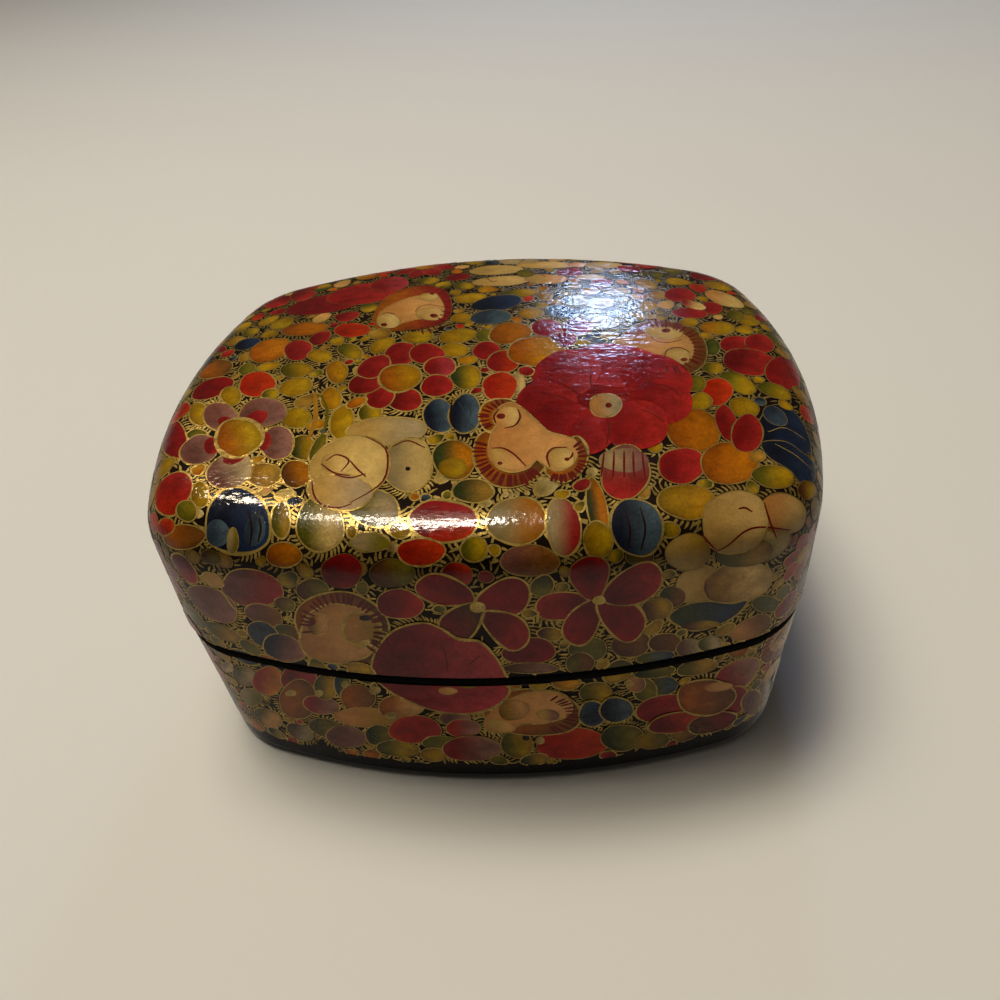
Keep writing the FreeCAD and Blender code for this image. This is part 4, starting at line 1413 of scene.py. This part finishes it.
def hatch_strokes(items, centres, reaches, sizes):
    """Comma strokes that stand outwards round the shapes, on the black ground between them.

    In each gap only one of the shapes has its strokes: the one with the higher rank.
    """
    shares = np.array([0.0, 0.34, 0.67, 1.0])[:, None]
    ranks = chance.random(len(items))
    kept_paths = []
    for k, item in enumerate(items):
        if not item.hatch:
            continue
        start, ahead, bend = stroke_starts(item, k)
        reach = (chance.uniform(0.75, 1.25, len(start)) * MM)[:, None, None]
        paths = start[:, None] + ahead[:, None] * reach * shares + bend[:, None] * reach * 0.25 * shares ** 2
        near = np.nonzero(np.linalg.norm(centres - centres[k], axis=-1) < sizes + sizes[k] + 2 * MM)[0]
        near = near[near != k]
        values = inside(paths, centres[near], reaches[near], sizes[near] + 2 * MM)
        free = values[:, :2].min(axis=(1, 2), initial=9.0) > 1.0
        tips = values[:, 3]
        rival = (tips < 1.0 + 0.9 * MM / sizes[near]) & (ranks[near] > ranks[k])
        keep = free & ~rival.any(axis=1) & (chance.random(len(paths)) > 0.05)
        kept_paths.append(paths[keep])
    paths, outs = settle(np.concatenate(kept_paths))
    low, high = paths[..., 2].min(axis=1), paths[..., 2].max(axis=1)
    on_seam = (high > BASE_PAINT_HIGH) & (low < LID_PAINT_LOW)
    keep = ~on_seam & (low > BASE_PAINT_LOW)
    return paths[keep], outs[keep], low[keep] > SEAM


def add_strokes(sheets, paths, outs, on_lid):
    """Tapered ribbons for the comma strokes."""
    taper = np.array([1.0, 1.05, 0.8, 0.25])
    width = (0.33 * MM * chance.uniform(0.75, 1.2, len(paths)))[:, None] * taper
    side = sideways(paths, outs, False) * width[..., None] / 2
    places = np.stack([paths - side, paths + side], axis=2) + (outs * STROKE_LIFT)[:, :, None]
    tones = linear(PAINTS["gold"][0]) * chance.normal(1, 0.12, (len(paths), 1, 1))
    # The strokes' gold darkens towards the back and the right, and along the shoulder as painted shade.
    tones = tones * gold_fade_and_shade(paths[:, :1])[..., None]
    for part, chosen in (("lid", on_lid), ("base", ~on_lid)):
        count = int(chosen.sum())
        faces = (ribbon_faces(4, False)[None] + 8 * np.arange(count)[:, None, None]).reshape(-1, 4)
        points = places[chosen].reshape(-1, 3)
        tone = np.broadcast_to(tones[chosen], (count, 8, 3)).reshape(-1, 3)
        normals = np.repeat(outs[chosen].reshape(-1, 3), 2, axis=0)
        grain = np.tile(np.array([[k, s] for k in range(4) for s in range(2)], float) * 0.4, (count, 1))
        grain = grain + np.repeat(chance.uniform(0, 90, (count, 2)), 8, axis=0)
        sheets[part, "gold_strokes"].add(points, normals, tone, grain, faces, np.zeros(len(points), bool))


def add_brush_lines(sheets, items, centres, reaches, sizes):
    """Lines of the brush, thin at their ends, each over whatever it crosses."""
    levels = np.array([item.level for item in items])
    taper = np.sin(np.linspace(0.12, 0.88, LINE_POINTS) * math.pi) ** 0.6
    for seen in (True, False):
        group = [entry for entry in lines if (entry[3] is None) == seen]
        paths = np.array([through(points, LINE_POINTS, False) for _, _, points, _ in group])
        if seen:
            middles, outs = seen_at(paths)
        else:
            spots = [np.array([entry[3][k] for entry in group]) for k in range(3)]
            middles, outs = (v[:, :, 0] for v in spread(spots, paths[:, :, None]))
        for (paint, width, _, _), middle, out in zip(group, middles, outs):
            near = np.nonzero(np.linalg.norm(centres - middle[LINE_POINTS // 2], axis=-1) < sizes + 6 * MM)[0]
            under = (inside(middle, centres[near], reaches[near], sizes[near]) < 1.1).any(axis=0)
            level = levels[near][under].max(initial=0)
            lift = FIRST_LIFT + LEVEL_LIFT * (level + 0.75)
            family = "gold_outlines" if paint == "gold" else "fine_brushwork"
            tone = linear(PAINTS[paint][0]) * chance.normal(1, 0.06)
            widths = width * taper * MM * (PIXEL if seen else 1.0)
            for part in parts_of(middle[:, 2].min(), middle[:, 2].max()):
                add_ribbon(sheets[part, family], middle, out, widths, lift, tone, part)


def parts_of(low, high):
    """The box's parts that paint between two heights falls on."""
    return [part for part, on in (("lid", high > LID_PAINT_LOW), ("base", low < BASE_PAINT_HIGH)) if on]


def make_painting():
    """All the painted shapes, gold lines and strokes, one mesh for each kind on the lid and on the base."""
    paint_seen_side()
    fill_round()
    lay_out(dabs)
    ovals = stack_up(dabs)
    kinds = [*FAMILIES, "gold_outlines", "gold_strokes"]
    sheets = {(part, kind): Sheet() for part in ("lid", "base") for kind in kinds}
    for item in dabs:
        heights = item.places[..., 2]
        for part in parts_of(heights.min(), heights.max()):
            paint_shape(sheets[part, item.family], item, part)
            if item.gold > 0:
                outline(sheets[part, "gold_outlines"], item, part)
    add_strokes(sheets, *hatch_strokes(dabs, *ovals))
    add_brush_lines(sheets, dabs, *ovals)
    return {key: sheet.build("_".join(key)) for key, sheet in sheets.items() if sheet.count}


def node(tree, kind, inputs=(), **settings):
    """A shader node with its settings, and its inputs' values by number or name."""
    made = tree.nodes.new(kind)
    for name, value in settings.items():
        setattr(made, name, value)
    for socket, value in dict(inputs).items():
        made.inputs[socket].default_value = value
    return made


def new_material(name):
    material = bpy.data.materials.new(name)
    material.use_nodes = True
    tree = material.node_tree
    return material, tree, tree.nodes["Principled BSDF"]


def new_group(name, inputs, outputs):
    group = bpy.data.node_groups.new(name, "ShaderNodeTree")
    for label, kind, value in inputs:
        group.interface.new_socket(label, in_out="INPUT", socket_type=kind).default_value = value
    for label, kind in outputs:
        group.interface.new_socket(label, in_out="OUTPUT", socket_type=kind)
    return group, group.nodes.new("NodeGroupInput"), group.nodes.new("NodeGroupOutput")


def make_lacquer_surface():
    """Group: the brushed lacquer's long soft ripples and fine orange peel, as a normal, with its roughness."""
    group, given, result = new_group(
        "lacquer surface",
        [("Ripple", "NodeSocketFloat", 1.0), ("Roughness", "NodeSocketFloat", 0.1)],
        [("Normal", "NodeSocketVector"), ("Roughness", "NodeSocketFloat")],
    )
    place = node(group, "ShaderNodeTexCoord")
    stretch = node(group, "ShaderNodeMapping", {"Scale": (0.6, 2.8, 1.7), "Rotation": (0.0, 0.0, 0.12)})
    ripple = node(group, "ShaderNodeTexNoise", {"Scale": 210.0, "Detail": 3.0, "Roughness": 0.55})
    peel = node(group, "ShaderNodeTexNoise", {"Scale": 1200.0, "Detail": 2.0, "Roughness": 0.55})
    soften = node(group, "ShaderNodeMath", {1: 0.7}, operation="MULTIPLY")
    total = node(group, "ShaderNodeMath", operation="ADD")
    strength = node(group, "ShaderNodeMath", {1: 0.42}, operation="MULTIPLY")
    bump = node(group, "ShaderNodeBump", {"Distance": 0.0002})
    patches = node(group, "ShaderNodeTexNoise", {"Scale": 130.0, "Detail": 6.0, "Roughness": 0.75})
    spread_out = node(group, "ShaderNodeMapRange", {"From Min": 0.3, "From Max": 0.72, "To Min": 0.6, "To Max": 2.4})
    rough = node(group, "ShaderNodeMath", operation="MULTIPLY")
    link = group.links.new
    link(place.outputs["Object"], stretch.inputs["Vector"])
    link(stretch.outputs["Vector"], ripple.inputs["Vector"])
    link(place.outputs["Object"], peel.inputs["Vector"])
    link(place.outputs["Object"], patches.inputs["Vector"])
    link(peel.outputs["Fac"], soften.inputs[0])
    link(ripple.outputs["Fac"], total.inputs[0])
    link(soften.outputs[0], total.inputs[1])
    link(given.outputs["Ripple"], strength.inputs[0])
    link(strength.outputs[0], bump.inputs["Strength"])
    link(total.outputs[0], bump.inputs["Height"])
    link(bump.outputs["Normal"], result.inputs["Normal"])
    link(patches.outputs["Fac"], spread_out.inputs["Value"])
    link(spread_out.outputs["Result"], rough.inputs[0])
    link(given.outputs["Roughness"], rough.inputs[1])
    link(rough.outputs[0], result.inputs["Roughness"])
    return group


def make_brush_colour():
    """Group: a paint's colour with the brush's streaks, thin places and a fine mottle."""
    group, given, result = new_group(
        "brushed colour",
        [("Colour", "NodeSocketColor", (0.5, 0.5, 0.5, 1.0)), ("Streaks", "NodeSocketFloat", 0.3),
         ("Mottle", "NodeSocketFloat", 0.25)],
        [("Colour", "NodeSocketColor")],
    )
    grain = node(group, "ShaderNodeUVMap", uv_map="grain")
    place = node(group, "ShaderNodeTexCoord")
    fine = node(group, "ShaderNodeTexNoise", {"Scale": 2.6, "Detail": 3.0, "Roughness": 0.6, "Distortion": 0.6})
    broad = node(group, "ShaderNodeTexNoise", {"Scale": 0.45, "Detail": 2.0, "Roughness": 0.5})
    cloud = node(group, "ShaderNodeTexNoise", {"Scale": 140.0, "Detail": 5.0, "Roughness": 0.65})
    link = group.links.new
    link(grain.outputs["UV"], fine.inputs["Vector"])
    link(grain.outputs["UV"], broad.inputs["Vector"])
    link(place.outputs["Object"], cloud.inputs["Vector"])

    def shift(source, amount):
        """A factor about 1 that goes up and down with a pattern."""
        centred = node(group, "ShaderNodeMath", {1: 0.5}, operation="SUBTRACT")
        scaled = node(group, "ShaderNodeMath", operation="MULTIPLY")
        raised = node(group, "ShaderNodeMath", {1: 1.0}, operation="ADD")
        link(source, centred.inputs[0])
        link(centred.outputs[0], scaled.inputs[0])
        link(amount, scaled.inputs[1])
        link(scaled.outputs[0], raised.inputs[0])
        return raised.outputs[0]

    streaks = node(group, "ShaderNodeMath", {1: 2.0}, operation="MULTIPLY")
    mottle = node(group, "ShaderNodeMath", {1: 2.4}, operation="MULTIPLY")
    link(given.outputs["Streaks"], streaks.inputs[0])
    link(given.outputs["Mottle"], mottle.inputs[0])
    first = node(group, "ShaderNodeMath", operation="MULTIPLY")
    second = node(group, "ShaderNodeMath", operation="MULTIPLY")
    link(shift(fine.outputs["Fac"], streaks.outputs[0]), first.inputs[0])
    link(shift(broad.outputs["Fac"], streaks.outputs[0]), first.inputs[1])
    link(first.outputs[0], second.inputs[0])
    link(shift(cloud.outputs["Fac"], mottle.outputs[0]), second.inputs[1])
    tinted = node(group, "ShaderNodeVectorMath", operation="SCALE")
    link(given.outputs["Colour"], tinted.inputs[0])
    link(second.outputs[0], tinted.inputs["Scale"])
    link(tinted.outputs[0], result.inputs["Colour"])
    return group


def place_group(tree, group, **values):
    placed = node(tree, "ShaderNodeGroup", node_tree=group)
    for name, value in values.items():
        placed.inputs[name].default_value = value
    return placed


def make_paint(name, surface_group, colour_group, streaks, mottle, roughness, ripple, metallic=0.0):
    """Paint under the lacquer: its colour is kept on the mesh, the streaks follow each shape's own grain."""
    material, tree, shader = new_material(name)
    colour = node(tree, "ShaderNodeAttribute", attribute_name="paint")
    brushed = place_group(tree, colour_group, Streaks=streaks, Mottle=mottle)
    lacquer = place_group(tree, surface_group, Ripple=ripple, Roughness=roughness)
    tree.links.new(colour.outputs["Color"], brushed.inputs["Colour"])
    tree.links.new(brushed.outputs["Colour"], shader.inputs["Base Color"])
    tree.links.new(lacquer.outputs["Normal"], shader.inputs["Normal"])
    tree.links.new(lacquer.outputs["Roughness"], shader.inputs["Roughness"])
    shader.inputs["Metallic"].default_value = metallic
    shader.inputs["Specular IOR Level"].default_value = 0.38
    return material


def make_gold(name, surface_group, colour_group, roughness):
    """Gold paint with rubbed places where the dark ground shows through."""
    material = make_paint(name, surface_group, colour_group, 0.30, 0.30, roughness, 1.0, 0.45)
    tree = material.node_tree
    shader = tree.nodes["Principled BSDF"]
    place = node(tree, "ShaderNodeTexCoord")
    worn = node(tree, "ShaderNodeTexNoise", {"Scale": 420.0, "Detail": 4.0, "Roughness": 0.7})
    share = node(tree, "ShaderNodeMapRange", {"From Min": 0.50, "From Max": 0.72, "To Min": 0.0, "To Max": 0.7})
    mix = node(tree, "ShaderNodeMix", {7: rgba("#3a2610")}, data_type="RGBA")
    tree.links.new(place.outputs["Object"], worn.inputs["Vector"])
    tree.links.new(worn.outputs["Fac"], share.inputs["Value"])
    tree.links.new(share.outputs["Result"], mix.inputs[0])
    tree.links.new(shader.inputs["Base Color"].links[0].from_socket, mix.inputs[6])
    tree.links.new(mix.outputs[2], shader.inputs["Base Color"])
    return material


def make_black_lacquer(name, surface_group):
    """Black lacquer with a brown cast in thin places; the band at the seam is matte, and near the seam and the foot the
    colour is darkened almost to black as painted shade.
    """
    material, tree, shader = new_material(name)
    place = node(tree, "ShaderNodeTexCoord")
    cloud = node(tree, "ShaderNodeTexNoise", {"Scale": 90.0, "Detail": 5.0, "Roughness": 0.65})
    ramp = node(tree, "ShaderNodeValToRGB")
    ramp.color_ramp.elements[0].position = 0.35
    ramp.color_ramp.elements[0].color = rgba("#0d0806")
    ramp.color_ramp.elements[1].position = 0.75
    ramp.color_ramp.elements[1].color = rgba("#21140a")
    lacquer = place_group(tree, surface_group, Ripple=0.45, Roughness=0.13)
    height = node(tree, "ShaderNodeSeparateXYZ")
    from_seam = node(tree, "ShaderNodeMath", {1: SEAM - 0.4 * MM}, operation="SUBTRACT")
    apart = node(tree, "ShaderNodeMath", operation="ABSOLUTE")
    seam_matte_and_shade = node(tree, "ShaderNodeMapRange", {"From Min": 1.0 * MM, "From Max": 1.3 * MM, "To Min": 1.0, "To Max": 0.0})
    foot = node(tree, "ShaderNodeMapRange", {"From Min": FOOT, "From Max": BASE_PAINT_LOW, "To Min": 1.0, "To Max": 0.0})
    painted_shade_share = node(tree, "ShaderNodeMath", operation="MAXIMUM")
    # Painted shade: near the seam and the foot the lacquer's colour is darkened almost to black.
    colour = node(tree, "ShaderNodeMix", {7: rgba("#040302")}, data_type="RGBA")
    rough = node(tree, "ShaderNodeMix", {3: 0.9}, data_type="FLOAT")
    link = tree.links.new
    link(place.outputs["Object"], cloud.inputs["Vector"])
    link(cloud.outputs["Fac"], ramp.inputs["Fac"])
    link(place.outputs["Object"], height.inputs[0])
    link(height.outputs["Z"], from_seam.inputs[0])
    link(from_seam.outputs[0], apart.inputs[0])
    link(apart.outputs[0], seam_matte_and_shade.inputs["Value"])
    link(height.outputs["Z"], foot.inputs["Value"])
    link(seam_matte_and_shade.outputs["Result"], painted_shade_share.inputs[0])
    link(foot.outputs["Result"], painted_shade_share.inputs[1])
    link(painted_shade_share.outputs[0], colour.inputs[0])
    link(ramp.outputs["Color"], colour.inputs[6])
    link(colour.outputs[2], shader.inputs["Base Color"])
    link(lacquer.outputs["Normal"], shader.inputs["Normal"])
    link(seam_matte_and_shade.outputs["Result"], rough.inputs[0])
    link(lacquer.outputs["Roughness"], rough.inputs[2])
    link(rough.outputs[0], shader.inputs["Roughness"])
    shader.inputs["Specular IOR Level"].default_value = 0.15
    return material


def mirrored_from(pixel):
    """A place that shows at a pixel, and the direction of what is mirrored there."""
    place, out = seen_at(np.asarray(pixel, float)[None])
    ray = unit(place - EYE)
    return place[0], (ray - 2 * out * row_dot(ray, out))[0]


def make_lamp(name, at, distance, size, colour, radiance):
    """A lamp whose reflection shows at a pixel; its power is pi times its area times its brightness."""
    place, direction = mirrored_from(at)
    return soft_light(name, place + direction * distance, direction, size, colour, radiance)


def soft_light(name, place, away, size, colour, radiance):
    data = bpy.data.lights.new(name, "AREA")
    data.shape = "RECTANGLE" if size[0] != size[1] else "DISK"
    data.size, data.size_y = size
    area = size[0] * size[1] * (1.0 if data.shape == "RECTANGLE" else math.pi / 4)
    data.energy = radiance * math.pi * area
    data.color = linear(colour)
    lamp = bpy.data.objects.new(name, data)
    back = unit(np.asarray(away, float))
    right = unit(np.cross([0.0, 0.0, 1.0], back))
    matrix = np.eye(4)
    matrix[:3, 0], matrix[:3, 1], matrix[:3, 2], matrix[:3, 3] = right, np.cross(back, right), back, place
    lamp.matrix_world = matrix.T.tolist()
    bpy.context.scene.collection.objects.link(lamp)
    return lamp


def make_stage():
    """A plain pale tabletop in a dim pale room, a window and soft lamps, and the camera."""
    scene = bpy.context.scene
    scene.view_settings.view_transform = "Standard"
    half = 3.0
    corners = np.array([[-half, -half, 0], [half, -half, 0], [half, half, 0], [-half, half, 0]])
    floor = add_mesh("tabletop", corners, [[0, 1, 2, 3]])
    material, tree, shader = new_material("pale paper tabletop")
    shader.inputs["Base Color"].default_value = rgba("#dbdad6")
    shader.inputs["Roughness"].default_value = 0.9
    floor.data.materials.append(material)
    floor.visible_glossy = False

    world = bpy.data.worlds.new("room")
    scene.world = world
    world.use_nodes = True
    tree = world.node_tree
    background = tree.nodes["Background"]
    place = node(tree, "ShaderNodeTexCoord")
    parts = node(tree, "ShaderNodeSeparateXYZ")
    upward = node(tree, "ShaderNodeMapRange", {"From Min": 0.68, "From Max": 1.0, "To Min": 0.05, "To Max": 0.28})
    behind = node(tree, "ShaderNodeMapRange", {"From Min": -0.7, "From Max": 0.3, "To Min": 0.4, "To Max": 1.0})
    both = node(tree, "ShaderNodeMath", operation="MULTIPLY")
    below = node(tree, "ShaderNodeMapRange", {"From Min": -0.25, "From Max": 0.0, "To Min": 0.30, "To Max": 0.0})
    contact = node(tree, "ShaderNodeMapRange", {"From Min": -0.92, "From Max": -0.72, "To Min": 0.0, "To Max": 0.30})
    lower = node(tree, "ShaderNodeMath", operation="MINIMUM")
    total = node(tree, "ShaderNodeMath", operation="ADD")
    tree.links.new(place.outputs["Generated"], parts.inputs[0])
    tree.links.new(parts.outputs["Z"], upward.inputs["Value"])
    tree.links.new(parts.outputs["Y"], behind.inputs["Value"])
    tree.links.new(upward.outputs["Result"], both.inputs[0])
    tree.links.new(behind.outputs["Result"], both.inputs[1])
    path = node(tree, "ShaderNodeLightPath")
    shown = node(tree, "ShaderNodeMix", {3: 0.60}, data_type="FLOAT")
    tree.links.new(path.outputs["Is Camera Ray"], shown.inputs[0])
    tree.links.new(parts.outputs["Z"], below.inputs["Value"])
    tree.links.new(both.outputs[0], total.inputs[0])
    tree.links.new(parts.outputs["Z"], contact.inputs["Value"])
    tree.links.new(below.outputs["Result"], lower.inputs[0])
    tree.links.new(contact.outputs["Result"], lower.inputs[1])
    tree.links.new(lower.outputs[0], total.inputs[1])
    tree.links.new(total.outputs[0], shown.inputs[2])
    tree.links.new(shown.outputs[0], background.inputs["Strength"])
    background.inputs["Color"].default_value = rgba("#fff4e4")

    key = soft_light("overhead lamp", np.array([-0.11, 0.20, 1.2]), (-0.11, 0.20, 1.2), (0.29, 0.27), "#fff6e6", 16.6)
    key.visible_glossy = False
    front = make_lamp("front lamp", (404, 520), 0.9, (0.3, 0.3), "#fff4e0", 13.2)
    front.visible_glossy = False
    make_lamp("window", (600, 309), 1.0, (0.11, 0.055), "#b4d0ff", 58.0)
    make_lamp("ceiling glow", (398, 520), 0.9, (0.56, 0.46), "#fff0d4", 2.1)
    glints = (
        make_lamp("warm lamp left", (366, 519), 0.9, (0.08, 0.26), "#fff4de", 50.0),
        make_lamp("warm lamp right", (440, 524), 0.9, (0.11, 0.30), "#fff6e4", 62.0),
        make_lamp("spot lamp", (248, 501), 0.9, (0.07, 0.08), "#ffe8c8", 95.0),
    )
    for lamp in glints:
        lamp.visible_diffuse = False

    camera = bpy.data.objects.new("camera", bpy.data.cameras.new("camera"))
    camera.data.sensor_width = SENSOR
    camera.data.lens = FOCAL / PICTURE * SENSOR
    camera.data.clip_start = 0.01
    camera.data.clip_end = 10.0
    matrix = np.eye(4)
    matrix[:3, 0], matrix[:3, 1], matrix[:3, 2], matrix[:3, 3] = RIGHT, UP, BACK, EYE
    camera.matrix_world = matrix.T.tolist()
    scene.collection.objects.link(camera)
    scene.camera = camera


def main():
    surface_group = make_lacquer_surface()
    colour_group = make_brush_colour()
    black = make_black_lacquer("black lacquer", surface_group)
    finishes = {
        "petals": make_paint("red petal paint", surface_group, colour_group, 0.60, 0.42, 0.09, 1.0),
        "buds": make_paint("amber and olive paint", surface_group, colour_group, 0.55, 0.45, 0.09, 1.0),
        "blossoms": make_paint("cream blossom paint", surface_group, colour_group, 0.32, 0.36, 0.09, 1.0),
        "blue_petals": make_paint("navy petal paint", surface_group, colour_group, 0.7, 0.45, 0.09, 1.0),
        "fine_brushwork": make_paint("brown line paint", surface_group, colour_group, 0.2, 0.3, 0.12, 1.0),
        "gold_dots": make_gold("gold dots", surface_group, colour_group, 0.20),
        "gold_outlines": make_gold("gold outlines", surface_group, colour_group, 0.18),
        "gold_strokes": make_gold("gold hatching", surface_group, colour_group, 0.20),
    }
    for piece, body, replaced in ((make_lid(), "lid", "lid_shell"), (make_base(), "base", "base_shell")):
        piece.data.materials.append(black)
        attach(piece, body)
        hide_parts(replaced)
    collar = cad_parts["base_collar"]
    collar.data.materials.clear()
    collar.data.materials.append(black)
    for (part, kind), piece in make_painting().items():
        piece.data.materials.append(finishes[kind])
        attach(piece, part)
    make_stage()


main()
